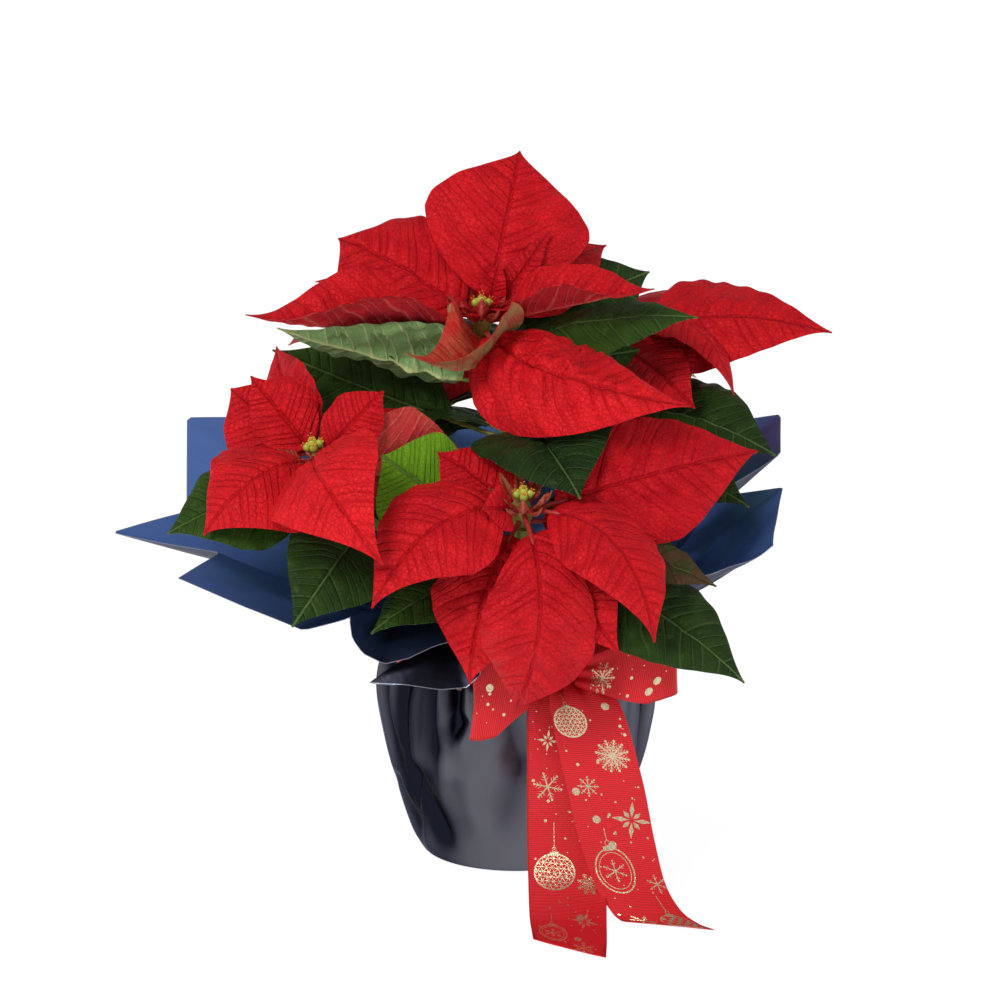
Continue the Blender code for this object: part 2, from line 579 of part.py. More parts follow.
def fused(name, base, pieces, collection, material):
    """One Boolean union of base with every object in pieces, applied. Loose scraps are dropped."""
    join = base.modifiers.new("Join", "BOOLEAN")
    join.operation = "UNION"
    join.operand_type = "COLLECTION"
    join.collection = pieces
    join.solver = "EXACT"
    join.use_self = True
    bpy.context.view_layer.update()
    evaluated = base.evaluated_get(bpy.context.evaluated_depsgraph_get())
    mesh = bpy.data.meshes.new_from_object(evaluated)
    for obj in list(pieces.objects) + [base]:
        bpy.data.objects.remove(obj)
    bpy.data.collections.remove(pieces)
    build = bmesh.new()
    build.from_mesh(mesh)
    bmesh.ops.triangulate(build, faces=build.faces[:])
    keep_largest(build)
    build.to_mesh(mesh)
    build.free()
    mesh.name = name
    mesh.set_sharp_from_angle(angle=math.radians(60))
    obj = bpy.data.objects.new(name, mesh)
    return link(obj, collection, material)


def keep_largest(build):
    """Deletes every connected piece but the one with the most vertices."""
    left, groups = set(build.verts), []
    while left:
        stack, group = [left.pop()], set()
        while stack:
            vert = stack.pop()
            group.add(vert)
            near = {edge.other_vert(vert) for edge in vert.link_edges} & left
            left -= near
            stack += near
        groups.append(group)
    largest = max(groups, key=len)
    scraps = [v for g in groups if g is not largest for v in g]
    bmesh.ops.delete(build, geom=scraps, context="VERTS")


def turned(name, profile, steps, collection, material):
    """A solid of revolution from an outline of radius and height, top to bottom on its outer side."""
    mesh = bpy.data.meshes.new(name)
    count = len(profile)
    closed = profile[0][0] > 0
    edges = [(i, (i + 1) % count) for i in range(count if closed else count - 1)]
    mesh.from_pydata([(r * MM, 0, z * MM) for r, z in profile], edges, [])
    obj = link(bpy.data.objects.new(name, mesh), collection, material)
    screw = obj.modifiers.new("Turn", "SCREW")
    screw.steps = screw.render_steps = steps
    screw.use_merge_vertices = True
    screw.merge_threshold = 0.00001
    screw.use_smooth_shade = True
    return obj


def new_collection(name, parent):
    made = bpy.data.collections.new(name)
    parent.children.link(made)
    return made


def around(bearing, radius, height):
    a = math.radians(bearing)
    return vec((radius * math.cos(a), radius * math.sin(a), height))


def crease_depth(bearing, height):
    depth = 0.0
    for at, half, deep, middle in CREASES:
        off = (bearing - at + 180) % 360 - 180
        depth += deep * math.exp(-((off / half) ** 2) - ((height - middle) / CREASE_REACH) ** 2)
    return depth


def film_edge(bearing):
    """The free edge's place and the lift, for the column that leaves the tie at this bearing."""
    table = sorted(FILM_EDGE)
    table = [(table[-1][0] - 360, *table[-1][1:])] + table + [(table[0][0] + 360, *table[0][1:])]
    for (a, place_a, lift_a), (b, place_b, lift_b) in zip(table, table[1:]):
        if a <= bearing <= b:
            t = (bearing - a) / (b - a)
            return vec(place_a) * (1 - t) + vec(place_b) * t, lift_a * (1 - t) + lift_b * t


def film_columns():
    """Bearings of the film's columns: every corner of the free edge, and even steps between."""
    corners = sorted(row[0] for row in FILM_EDGE)
    gaps = [(b - a, a) for a, b in zip(corners, corners[1:] + [corners[0] + 360])]
    cuts = {a: 1 for _, a in gaps}
    for _ in range(BAG_COLUMNS - len(corners)):
        wide, a = max(((g / cuts[a], a) for g, a in gaps))
        cuts[a] += 1
    return sorted(((a + g * k / cuts[a]) % 360) for g, a in gaps for k in range(cuts[a]))


def film_points():
    """The film's outer surface: the bag's rings, the tie, then the collar out to the free edge."""
    bearings = film_columns()
    rows = []
    for radius, height in BAG_RINGS:
        rows.append([around(b, radius - crease_depth(b, height) * (height > 3), height) for b in bearings])
    for height in (NECK_LOW, NECK_HIGH):
        rows.append([around(b, NECK_RADIUS, height) for b in bearings])
    for step in range(1, COLLAR_STEPS + 1):
        t = step / COLLAR_STEPS
        row = []
        for b in bearings:
            edge, lift = film_edge(b)
            start = around(b, NECK_RADIUS, NECK_HIGH)
            knee = start + around(b, COLLAR_RUN, lift) + (edge - start) * 0.2
            row.append((1 - t) ** 2 * start + 2 * t * (1 - t) * knee + t * t * edge)
        rows.append(row)
    return np.array(rows)


def make_film(collection, material):
    rows = film_points()
    count = rows.shape[1]
    build = grid_build(rows, len(rows), count, True)
    small = BAG_RINGS[0][0] * MM * 1.05
    middle = {vert for vert in build.verts if math.hypot(vert.co.x, vert.co.y) < small}
    rim = [edge for edge in build.edges if edge.is_boundary and middle.issuperset(edge.verts)]
    bmesh.ops.contextual_create(build, geom=rim)
    return sheet_object("film_wrap", build, FILM, -1, collection, material), rows


def make_pot(collection, material):
    base = FILM + GAP
    top = base + POT_HEIGHT
    inside = [
        (0, base + POT_WALL), (POT_BASE_RADIUS - POT_WALL, base + POT_WALL),
        (POT_RIM_RADIUS - POT_STEP - POT_WALL, top - POT_BAND),
        (POT_RIM_RADIUS - POT_WALL, top - POT_BAND + POT_LEDGE),
        (POT_RIM_RADIUS - POT_WALL, top),
    ]
    outside = [
        (POT_RIM_RADIUS, top), (POT_RIM_RADIUS, top - POT_BAND),
        (POT_RIM_RADIUS - POT_STEP, top - POT_BAND - POT_SHOULDER),
        (POT_BASE_RADIUS + POT_FOOT, base + POT_FOOT),
        (POT_BASE_RADIUS, base), (0, base),
    ]
    return turned("pot", inside + outside, TURN_STEPS, collection, material)


def pot_inner_radius(height):
    """Radius of the pot's inside at a height above the surface that it stands on."""
    low, high = FILM + GAP + POT_WALL, FILM + GAP + POT_HEIGHT - POT_BAND
    share = np.clip((height - low) / (high - low), 0, 1)
    return (POT_BASE_RADIUS - POT_WALL) * (1 - share) + (POT_RIM_RADIUS - POT_STEP - 1.8) * share


def make_soil(collection, material):
    """The soil, a slight mound with a hole for the trunk."""
    low, middle, high = FILM + 2 * GAP + POT_WALL, 50.0, 94.0
    hole = TRUNK_RADIUS + GAP
    mound = [
        (0, TRUNK_ROOT - GAP), (hole, TRUNK_ROOT - GAP), (hole, SOIL_TOP + 1),
        (26, SOIL_TOP + 1.8), (46, SOIL_TOP + 0.6), (pot_inner_radius(high) - SOIL_GAP, SOIL_TOP - 2),
    ]
    side = [(pot_inner_radius(height) - SOIL_GAP, height) for height in (middle, low)]
    return turned("soil", mound + side + [(0, low)], TURN_STEPS, collection, material)


def strip_object(name, left, right, collection):
    """A strip of ribbon between two edge lines."""
    points = np.stack([left, (left + right) / 2, right], 1).reshape(-1, 3)
    return sheet_object(name, grid_build(points, len(left), 3, False), RIBBON, 0, collection)


def loop_edges(line):
    """The lower and upper edge of a bow loop, gathered in at the knot."""
    middle = smooth_line(line, RIBBON_STEPS)
    share = np.linspace(0, 1, RIBBON_STEPS)
    half = RIBBON_WIDTH / 2 * np.minimum(1, LOOP_PINCH + LOOP_OPENING * np.minimum(share, 1 - share))
    ahead = np.gradient(middle, axis=0)
    side = vec((0, 0.12, 1)) - 0.15 * ahead / np.linalg.norm(ahead, axis=1)[:, None]
    side /= np.linalg.norm(side, axis=1)[:, None]
    return middle - side * half[:, None], middle + side * half[:, None]


def make_ribbon(collection, material):
    """The band round the tie, the knot, two loops and two tails, all one ribbon."""
    pieces = new_collection("ribbon pieces", collection)
    inner = (NECK_RADIUS + GAP) / math.cos(math.pi / BAND_STEPS)
    band_top, band_low = NECK_HIGH - 1, NECK_LOW + 1
    ring = [
        (inner + RIBBON, band_top), (inner + RIBBON + BAND_SWELL, (band_top + band_low) / 2),
        (inner + RIBBON, band_low), (inner, band_low), (inner, band_top),
    ]
    band = turned("ribbon", ring, BAND_STEPS, collection, material)
    knot = ball_object("knot", KNOT, 1.0, pieces, 10, 6)
    for vert in knot.data.vertices:
        away = vert.co - Vector(KNOT) * MM
        vert.co = Vector(KNOT) * MM + Vector(a * s / 2 for a, s in zip(away, KNOT_SIZE))
    for name, (left, right) in TAILS.items():
        strip_object(name, smooth_line(left, RIBBON_STEPS), smooth_line(right, RIBBON_STEPS), pieces)
    for name, line in LOOPS.items():
        strip_object(name, *loop_edges(line), pieces)
    return fused("ribbon", band, pieces, collection, material)


def make_buds(head, collection, material):
    """The small round flower buds in the middle of a head, fused to one cluster."""
    branch = BRANCHES[head]
    axis = unit(vec(branch["axis"]))
    pieces = new_collection(head + " buds", collection)
    seat = vec(branch["hub"]) + axis * (HUB_RADIUS + GAP)
    one = unit(np.cross(axis, vec((0.3, 1, 0))))
    two = np.cross(axis, one)
    centre = seat + axis * BUD_RADIUS * BUD_HEIGHT
    middle = ball_object("middle", centre, BUD_RADIUS, pieces, 5, 3, BUD_STRETCH, axis)
    pieces.objects.unlink(middle)
    collection.objects.link(middle)
    for k in range(BUD_RING):
        a = 2 * math.pi * k / BUD_RING + RING_TURN
        out = one * math.cos(a) + two * math.sin(a)
        centre = seat + out * RING_OUT + axis * (BUD_RADIUS * RING_HEIGHT + RING_STAGGER * (k % 2))
        ball_object("bud", centre, BUD_RADIUS * RING_SHARE, pieces, 5, 3, BUD_STRETCH, axis + RING_LEAN * out)
    return fused("buds_" + head, middle, pieces, collection, material)


def hub_object(head, collection):
    """The swollen end of the stem that a head's bracts leave from, longer below than it is wide."""
    branch = BRANCHES[head]
    axis = unit(vec(branch["axis"]))
    centre = vec(branch["hub"]) - axis * HUB_DROP / 2
    stretch = (HUB_RADIUS + HUB_DROP / 2) / HUB_RADIUS
    return ball_object("hub", centre, HUB_RADIUS, collection, 7, 5, stretch, axis)


def bract_root(head, form):
    """Where a bract leaves its head: lower down for an outer one, and on the side that it points to."""
    branch = BRANCHES[head]
    axis, hub = unit(vec(branch["axis"])), vec(branch["hub"])
    way = vec(form["tip"]) - hub
    out = way - (way @ axis) * axis
    return tuple(hub - axis * form.get("low", 3) + unit(out) * form.get("out", 1.5))


def bractlet_forms(head):
    """Small narrow bracts that stand round the buds."""
    branch = BRANCHES[head]
    axis = unit(vec(branch["axis"]))
    one = unit(np.cross(axis, vec((0.3, 1, 0))))
    two = np.cross(axis, one)
    forms = []
    for turn, lean, length in BRACTLETS:
        a, b = math.radians(turn), math.radians(lean)
        out = one * math.cos(a) + two * math.sin(a)
        way = out * math.sin(b) + axis * math.cos(b)
        root = vec(branch["hub"]) + out * HUB_RADIUS * 0.75
        tip = root + out * 3.5 + way * length
        forms.append(dict(root=tuple(root), tip=tuple(tip), face=tuple(axis - out), width=6, arch=-0.12,
                          fold=20, stalk=0.25, wave=0))
    return forms


def settle_plant(film_rows):
    """Every blade of the plant in its clear pose, by node, and the branches' lines."""
    settler = Settler()
    settler.add("film_wrap", film_rows.reshape(-1, 3), collar_faces(film_rows))
    lines = {name: branch_line(branch) for name, branch in BRANCHES.items()}
    for line in lines.values():
        settler.add("stems_and_leaves", *rough_tube(line, STEM_RADIUS))
    settler.add("ribbon", *rough_bow())
    forms = {"stems_and_leaves": []}
    for head in BRACTS:
        forms["bracts_" + head] = bractlet_forms(head)
        for form in forms["bracts_" + head]:
            settler.add("bracts_" + head, *blade_grid(form), 2 * len(SMALL_COLUMNS))
        settler.add("buds_" + head, *rough_ball(head))
    for head in ("front", "left", "top", "right", "back"):
        for form in BRACTS[head]:
            form = dict(form, root=bract_root(head, form))
            forms["bracts_" + head].append(settler.settle("bracts_" + head, form))
    for form in LEAVES:
        line = lines[form["on"]]
        step = form["at"] * (len(line) - 1)
        i = int(step)
        root = line[i] * (1 - step + i) + line[i + 1] * (step - i)
        form = dict(form, root=tuple(root))
        forms["stems_and_leaves"].append(settler.settle("stems_and_leaves", form))
    return forms, lines


def collar_faces(film_rows):
    """The faces of the film above the bag, only for the crossing test."""
    count = film_rows.shape[1]
    faces = []
    for i in range(len(BAG_RINGS), len(film_rows) - 1):
        for j in range(count):
            after = (j + 1) % count
            faces.append((i * count + j, i * count + after, (i + 1) * count + after, (i + 1) * count + j))
    return faces


def rough_tube(line, radius):
    """A six-sided tube along a line, only for the crossing test."""
    ahead = np.gradient(line, axis=0)
    points = []
    for place, way in zip(line, ahead):
        one = unit(np.cross(way, vec((0.2, 1, 0.1))))
        two = np.cross(unit(way), one)
        for k in range(6):
            a = k * math.pi / 3
            points.append(place + radius * (one * math.cos(a) + two * math.sin(a)))
    faces = [(i * 6 + k, i * 6 + (k + 1) % 6, i * 6 + 6 + (k + 1) % 6, i * 6 + 6 + k)
             for i in range(len(line) - 1) for k in range(6)]
    return np.array(points), faces


def rough_ball(head):
    """A stout tube where a head's buds are, only for the crossing test."""
    branch = BRANCHES[head]
    axis = unit(vec(branch["axis"]))
    low = vec(branch["hub"]) + axis * (HUB_RADIUS + GAP)
    return rough_tube(np.array([low, low + axis * 3.5, low + axis * 7]), 5.0)


def rough_bow():
    """The bow's loops and tails as bare strips, only for the crossing test."""
    points, faces = [], []
    strips = [loop_edges(line) for line in LOOPS.values()]
    strips += [[smooth_line(edge, RIBBON_STEPS) for edge in edges] for edges in TAILS.values()]
    for left, right in strips:
        first = range(len(points), len(points) + 2 * len(left) - 2, 2)
        points += [p for pair in zip(left, right) for p in pair]
        faces += [(i, i + 1, i + 3, i + 2) for i in first]
    return np.array(points), faces


def make_plant(collection, red, green, bud, film_rows):
    """The stems, leaves, bracts and buds: each head's bracts are one solid, all that is green another."""
    forms, lines = settle_plant(film_rows)
    for head in BRANCHES:
        pieces = new_collection(head + " bracts", collection)
        hub = hub_object(head, collection)
        for k, form in enumerate(forms["bracts_" + head]):
            blade_object(f"bract_{k}", form, pieces, red)
        fused("bracts_" + head, hub, pieces, collection, red)
        make_buds(head, collection, bud)
    pieces = new_collection("green pieces", collection)
    trunk_line = [(0, 0, TRUNK_ROOT), (0, 0, 110), (0, 0, TRUNK_TOP)]
    trunk = tube_object("trunk", trunk_line, TRUNK_RADIUS, collection)
    for name, line in lines.items():
        tube_object("stem_" + name, line, STEM_RADIUS, pieces)
    for k, form in enumerate(forms["stems_and_leaves"]):
        blade_object(f"leaf_{k}", form, pieces, green)
    fused("stems_and_leaves", trunk, pieces, collection, green)


def main():
    for obj in list(bpy.data.objects):
        bpy.data.objects.remove(obj)
    plant = new_collection("poinsettia", bpy.context.scene.collection)
    film, rows = make_film(plant, new_material("film", CHARCOAL, 0.35))
    make_pot(plant, new_material("pot", POT_BROWN, 0.5))
    make_soil(plant, new_material("soil", PEAT, 0.95))
    make_ribbon(plant, new_material("ribbon", RIBBON_RED, 0.6))
    red, green = new_material("bract", RED, 0.5), new_material("leaf", GREEN, 0.45)
    make_plant(plant, red, green, new_material("bud", BUD, 0.5), rows)


main()
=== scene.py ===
# Poinsettia in its wrapped pot: the finish of every piece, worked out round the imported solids.
# +Z is up and -Y is the side with the bow. Lengths in the tables are millimetres, apart from those of
# the camera, the lights, the floor and the dents, which are metres. Colours are red, green and blue.
import math

import bpy
import numpy as np
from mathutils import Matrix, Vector
from mathutils.bvhtree import BVHTree


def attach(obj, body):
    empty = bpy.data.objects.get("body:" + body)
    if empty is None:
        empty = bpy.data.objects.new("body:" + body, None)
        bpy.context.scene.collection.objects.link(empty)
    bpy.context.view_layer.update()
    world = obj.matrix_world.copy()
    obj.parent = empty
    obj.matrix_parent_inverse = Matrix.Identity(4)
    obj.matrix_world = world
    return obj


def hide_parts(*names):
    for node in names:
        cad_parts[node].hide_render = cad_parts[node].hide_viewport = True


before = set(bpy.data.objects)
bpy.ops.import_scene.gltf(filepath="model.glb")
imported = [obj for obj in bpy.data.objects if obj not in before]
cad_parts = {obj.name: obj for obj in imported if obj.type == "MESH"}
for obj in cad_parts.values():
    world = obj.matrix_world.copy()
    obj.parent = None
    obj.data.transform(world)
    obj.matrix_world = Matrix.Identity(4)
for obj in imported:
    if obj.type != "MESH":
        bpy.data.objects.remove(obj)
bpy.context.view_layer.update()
mm = 0.001
gap = 0.3  # room between two pieces that touch
chance = np.random.default_rng(12)


def vec(values):
    return np.array(values, float)


def unit(v):
    return v / np.linalg.norm(v)


def units(rows):  # each row of an array scaled to length one
    return rows / np.maximum(np.linalg.norm(rows, axis=-1, keepdims=True), 1e-12)


def pairs(rows, columns):  # every row with every column, as two flat arrays
    return (g.ravel() for g in np.meshgrid(rows, columns, indexing="ij"))


# Camera: 12 degrees above level, on a long lens as in product photography
cameraSetup = {
    "elevation": 12.0, "distance": 1.75, "target": (-0.008, 0.0, 0.1794), "lens": 126.0, "sensor": 36.0,
}


def makeCamera():
    rise = math.radians(cameraSetup["elevation"])
    away = Vector((0, -math.cos(rise), math.sin(rise)))
    data = bpy.data.cameras.new("camera")
    data.lens = cameraSetup["lens"]
    data.sensor_width = cameraSetup["sensor"]
    obj = bpy.data.objects.new("camera", data)
    obj.location = Vector(cameraSetup["target"]) + away * cameraSetup["distance"]
    obj.rotation_euler = (-away).to_track_quat("-Z", "Y").to_euler()
    bpy.context.scene.collection.objects.link(obj)
    bpy.context.scene.camera = obj


# Studio: white near the horizon and dimmer overhead, a large soft light from the upper left, a weaker
# one from the right, and a floor that glows a little, as on a lit table for product photographs
studio = {
    "aim": (0, 0, 0.18), "floorReach": 40.0, "floorHeight": -0.0004, "floorRoughness": 0.9,
    "sky": 0.3, "skyFrom": 0.05, "skyTo": 0.35, "horizon": 1.03, "floor": 0.3, "glow": 0.9,
    "lights": [
        {"name": "key", "place": (-0.75, -1.15, 1.35), "size": 0.6, "power": 17.0},
        {"name": "fill", "place": (1.3, -0.9, 0.6), "size": 0.9, "power": 3.5},
    ],
}


def makeStudio():
    world = bpy.data.worlds.new("surround")
    world.use_nodes = True
    tree = world.node_tree
    background = tree.nodes["Background"]
    background.inputs["Color"].default_value = (1, 1, 1, 1)
    height = tree.nodes.new("ShaderNodeSeparateXYZ")
    tree.links.new(tree.nodes.new("ShaderNodeTexCoord").outputs["Generated"], height.inputs[0])
    fade = [studio[key] for key in ("skyFrom", "skyTo", "horizon", "sky")]
    level = ramp(tree, height.outputs[2], *fade)
    tree.links.new(level, background.inputs["Strength"])
    bpy.context.scene.world = world
    bpy.context.scene.view_settings.view_transform = "Standard"
    for light in studio["lights"]:
        data = bpy.data.lights.new(light["name"], "AREA")
        data.size = light["size"]
        data.energy = light["power"]
        obj = bpy.data.objects.new(light["name"], data)
        obj.location = light["place"]
        aim = Vector(studio["aim"]) - obj.location
        obj.rotation_euler = aim.to_track_quat("-Z", "Y").to_euler()
        bpy.context.scene.collection.objects.link(obj)
    mesh = bpy.data.meshes.new("floor")
    reach, height = studio["floorReach"], studio["floorHeight"]
    corners = [(-reach, -reach), (reach, -reach), (reach, reach), (-reach, reach)]
    mesh.from_pydata([(x, y, height) for x, y in corners], [], [(0, 1, 2, 3)])
    glow = {"Emission_Color": (1, 1, 1, 1), "Emission_Strength": studio["glow"]}
    mesh.materials.append(paint("floor", (studio["floor"],) * 3, studio["floorRoughness"], **glow)[0])
    floor = bpy.data.objects.new("floor", mesh)
    bpy.context.scene.collection.objects.link(floor)


# Materials: short helpers for their nodes
def put(tree, socket, value):  # links another socket, or sets a number or a colour
    if isinstance(value, bpy.types.NodeSocket):
        tree.links.new(value, socket)
    else:
        socket.default_value = (*value, 1.0) if isinstance(value, tuple) else value


def paint(name, colour, roughness, metallic=0.0, **sockets):
    material = bpy.data.materials.new(name)
    material.use_nodes = True
    tree = material.node_tree
    shader = tree.nodes["Principled BSDF"]
    put(tree, shader.inputs["Base Color"], colour)
    shader.inputs["Roughness"].default_value = roughness
    shader.inputs["Metallic"].default_value = metallic
    for key, value in sockets.items():
        shader.inputs[key.replace("_", " ")].default_value = value
    return material, tree, shader


def calc(tree, operation, a, b=0.0):
    made = tree.nodes.new("ShaderNodeMath")
    made.operation = operation
    put(tree, made.inputs[0], a)
    put(tree, made.inputs[1], b)
    return made.outputs[0]


def times(tree, a, b):
    return calc(tree, "MULTIPLY", a, b)


def blendOf(tree, share, a, b):
    made = tree.nodes.new("ShaderNodeMix")
    made.data_type = "RGBA"
    for k, value in ((0, share), (6, a), (7, b)):
        put(tree, made.inputs[k], value)
    return made.outputs[2]


def ramp(tree, value, low, high, start=0.0, end=1.0):  # a smooth step from start to end
    made = tree.nodes.new("ShaderNodeMapRange")
    made.interpolation_type = "SMOOTHSTEP"
    keys = ("Value", "From Min", "From Max", "To Min", "To Max")
    for key, number in zip(keys, (value, low, high, start, end)):
        put(tree, made.inputs[key], number)
    return made.outputs[0]


def split(tree, name):  # a point attribute, whole and as its three numbers
    source = tree.nodes.new("ShaderNodeAttribute")
    source.attribute_name = name
    parts = tree.nodes.new("ShaderNodeSeparateXYZ")
    tree.links.new(source.outputs["Vector"], parts.inputs[0])
    return source.outputs["Vector"], *parts.outputs


def places(tree):
    return tree.nodes.new("ShaderNodeTexCoord").outputs["Object"]


def noise(tree, vector, scale, detail=2.0, roughness=0.5):
    made = tree.nodes.new("ShaderNodeTexNoise")
    for key, value in (("Vector", vector), ("Scale", scale), ("Detail", detail), ("Roughness", roughness)):
        put(tree, made.inputs[key], value)
    return made.outputs["Fac"]


def cells(tree, vector, scale, feature="DISTANCE_TO_EDGE"):
    made = tree.nodes.new("ShaderNodeTexVoronoi")
    made.feature = feature
    put(tree, made.inputs["Vector"], vector)
    made.inputs["Scale"].default_value = scale
    return made.outputs["Distance"]


def stretched(tree, vector, scale):
    made = tree.nodes.new("ShaderNodeMapping")
    put(tree, made.inputs["Vector"], vector)
    made.inputs["Scale"].default_value = scale
    return made.outputs[0]


def dent(tree, shader, height, distance, strength, after=None):  # distance in metres
    made = tree.nodes.new("ShaderNodeBump")
    made.inputs["Distance"].default_value = distance
    made.inputs["Strength"].default_value = strength
    put(tree, made.inputs["Height"], height)
    if after is not None:
        put(tree, made.inputs["Normal"], after)
    tree.links.new(made.outputs[0], shader.inputs["Normal"])
    return made.outputs[0]


# Blade finishes: the colours, then how strongly veins, their net and bright patches show
bladeFinishes = {
    "bract": {
        "upper": (0.5, 0.001, 0.009), "bright": (0.88, 0.012, 0.018), "vein": (0.2, 0.002, 0.008),
        "under": (0.62, 0.018, 0.03), "rib": (0.75, 0.12, 0.1), "odd": (0.4, 0.34, 0.14),
        "roughness": 0.5, "gloss": 0.16, "sideVein": 0.1, "midrib": 0.3, "net": 0.35, "patches": 0.42,
    },
    "leaf": {
        "upper": (0.002, 0.013, 0.0035), "bright": (0.17, 0.38, 0.01), "vein": (0.12, 0.19, 0.06),
        "under": (0.27, 0.47, 0.17), "rib": (0.6, 0.68, 0.3), "odd": (0.1, 0.045, 0.02),
        "roughness": 0.42, "gloss": 0.16, "sideVein": 0.5, "midrib": 0.75, "net": 0.3, "patches": 0.06,
    },
}
# Their lines as smooth steps: from, to, and the values there. Distances from a side vein are shares of
# the spacing, those from the midrib are millimetres.
veinSteps = {
    "line": (0.0, 0.075, 1.0, 0.0), "lineFade": (4.0, 34.0, 0.75, 0.1), "midrib": (0.25, 0.85, 1.0, 0.0),
    "wide": (0.0, 0.12, 0.85, 0.0), "wideRib": (0.3, 1.4, 1.0, 0.0),
    "trough": (0.0, 0.2, 1.0, 0.0), "troughFade": (4.0, 34.0, 0.9, 0.35), "troughRib": (0.2, 1.3, 1.1, 0.0),
    "net": (0.0, 0.07, 1.0, 0.0), "fine": (0.0, 0.1, 1.0, 0.0),
    "patches": (0.3, 0.7), "oddPatches": (0.25, 0.7, 0.2, 1.0),
}
bladeNets = {
    "net": 0.42, "fine": 1.3, "netAbove": 0.14, "netBelow": 0.3, "fineDepth": 0.35,
    "patches": (0.07, 3.0), "oddPatches": (0.11, 2.0),
    "wrinkle": (0.11, 0, 1.9), "wrinkleDepth": 1.1, "dent": (0.0011, 0.9),
}


def bladeFinish(name):
    # bladePlace holds millimetres across, millimetres along and the side veins' count; bladeLook holds
    # the side, 0 above and 1 below, then the brightness and the share of the odd colour
    look, nets = bladeFinishes[name], bladeNets
    material, tree, shader = paint(name, look["upper"], look["roughness"], Specular_IOR_Level=look["gloss"])
    place, across, _, count = split(tree, "bladePlace")
    _, side, tone, share = split(tree, "bladeLook")

    def stepped(value, key):
        return ramp(tree, value, *veinSteps[key])

    offVein, offRib = calc(tree, "PINGPONG", count, 0.5), calc(tree, "ABSOLUTE", across)
    flatPlace = stretched(tree, place, (1, 1, 0))
    net = stepped(cells(tree, flatPlace, nets["net"]), "net")
    fine = stepped(cells(tree, flatPlace, nets["fine"]), "fine")
    patches = stepped(noise(tree, flatPlace, *nets["patches"]), "patches")
    patchShare = look["patches"]
    lit = calc(tree, "ADD", times(tree, patches, patchShare), times(tree, tone, 1 - patchShare))
    above = blendOf(tree, lit, look["upper"], look["bright"])
    above = blendOf(tree, times(tree, net, nets["netAbove"]), above, look["vein"])
    sideVein = times(tree, stepped(offVein, "line"), stepped(offRib, "lineFade"))
    midrib = times(tree, stepped(offRib, "midrib"), look["midrib"])
    drawn = calc(tree, "MAXIMUM", times(tree, sideVein, look["sideVein"]), midrib)
    above = blendOf(tree, drawn, above, look["vein"])
    below = blendOf(tree, times(tree, net, nets["netBelow"]), look["under"], look["rib"])
    wideVein = calc(tree, "MAXIMUM", stepped(offVein, "wide"), stepped(offRib, "wideRib"))
    below = blendOf(tree, wideVein, below, look["rib"])
    oddPatches = stepped(noise(tree, flatPlace, *nets["oddPatches"]), "oddPatches")
    colour = blendOf(tree, side, above, below)
    put(tree, shader.inputs["Base Color"], blendOf(tree, times(tree, share, oddPatches), colour, look["odd"]))
    trough = times(tree, stepped(offVein, "trough"), stepped(offRib, "troughFade"))
    trough = calc(tree, "MAXIMUM", trough, stepped(offRib, "troughRib"))
    raised = calc(tree, "ADD", trough, times(tree, net, look["net"]))
    raised = calc(tree, "ADD", raised, times(tree, fine, look["net"] * nets["fineDepth"]))
    wrinkle = noise(tree, stretched(tree, place, nets["wrinkle"]), 1.0, 3.0, 0.55)
    raised = calc(tree, "SUBTRACT", raised, times(tree, wrinkle, nets["wrinkleDepth"]))
    sign = calc(tree, "SUBTRACT", times(tree, side, 2.0), 1.0)
    dent(tree, shader, times(tree, raised, sign), *nets["dent"])
    return material


stemLooks = {
    "roughness": 0.42, "gloss": 0.45, "green": ((0.16, 0.27, 0.03), (0.36, 0.45, 0.08)),
    "red": ((0.3, 0.012, 0.015), (0.5, 0.05, 0.03)), "woody": ((0.1, 0.075, 0.035), (0.2, 0.17, 0.07)),
    "streaks": (900.0, 3.0), "mottle": (60.0, 2.0), "dent": (0.0003, 0.5),
}


def stemFinish():
    look = stemLooks
    material, tree, shader = paint(
        "stem", look["green"][0], look["roughness"], Specular_IOR_Level=look["gloss"])
    place = places(tree)
    streaks = noise(tree, stretched(tree, place, (1, 1, 0.15)), *look["streaks"])
    mottle = noise(tree, place, *look["mottle"])
    _, side, _, share = split(tree, "bladeLook")
    green, red = blendOf(tree, mottle, *look["green"]), blendOf(tree, mottle, *look["red"])
    woody = blendOf(tree, streaks, *look["woody"])
    colour = blendOf(tree, side, blendOf(tree, share, green, red), woody)
    put(tree, shader.inputs["Base Color"], colour)
    dent(tree, shader, streaks, *look["dent"])
    return material


budLooks = {
    "roughness": 0.36, "gloss": 0.5, "cup": ((0.13, 0.27, 0.02), (0.46, 0.5, 0.06)),
    "gland": (0.85, 0.5, 0.03), "stamen": (0.6, 0.03, 0.02), "grain": (1600.0, 2.0), "dent": (0.0002, 0.4),
}


def budFinish():
    # budLook holds 0 for the cup, 1 for the gland and 2 for the stamens, then the height along the cup
    look = budLooks
    material, tree, shader = paint("bud", look["cup"][0], look["roughness"], Specular_IOR_Level=look["gloss"])
    _, kind, height, _ = split(tree, "budLook")
    colour = blendOf(tree, ramp(tree, height, 0.0, 1.0), *look["cup"])
    colour = blendOf(tree, ramp(tree, kind, 0.4, 0.6), colour, look["gland"])
    colour = blendOf(tree, ramp(tree, kind, 1.4, 1.6), colour, look["stamen"])
    put(tree, shader.inputs["Base Color"], colour)
    dent(tree, shader, noise(tree, places(tree), *look["grain"]), *look["dent"])
    return material


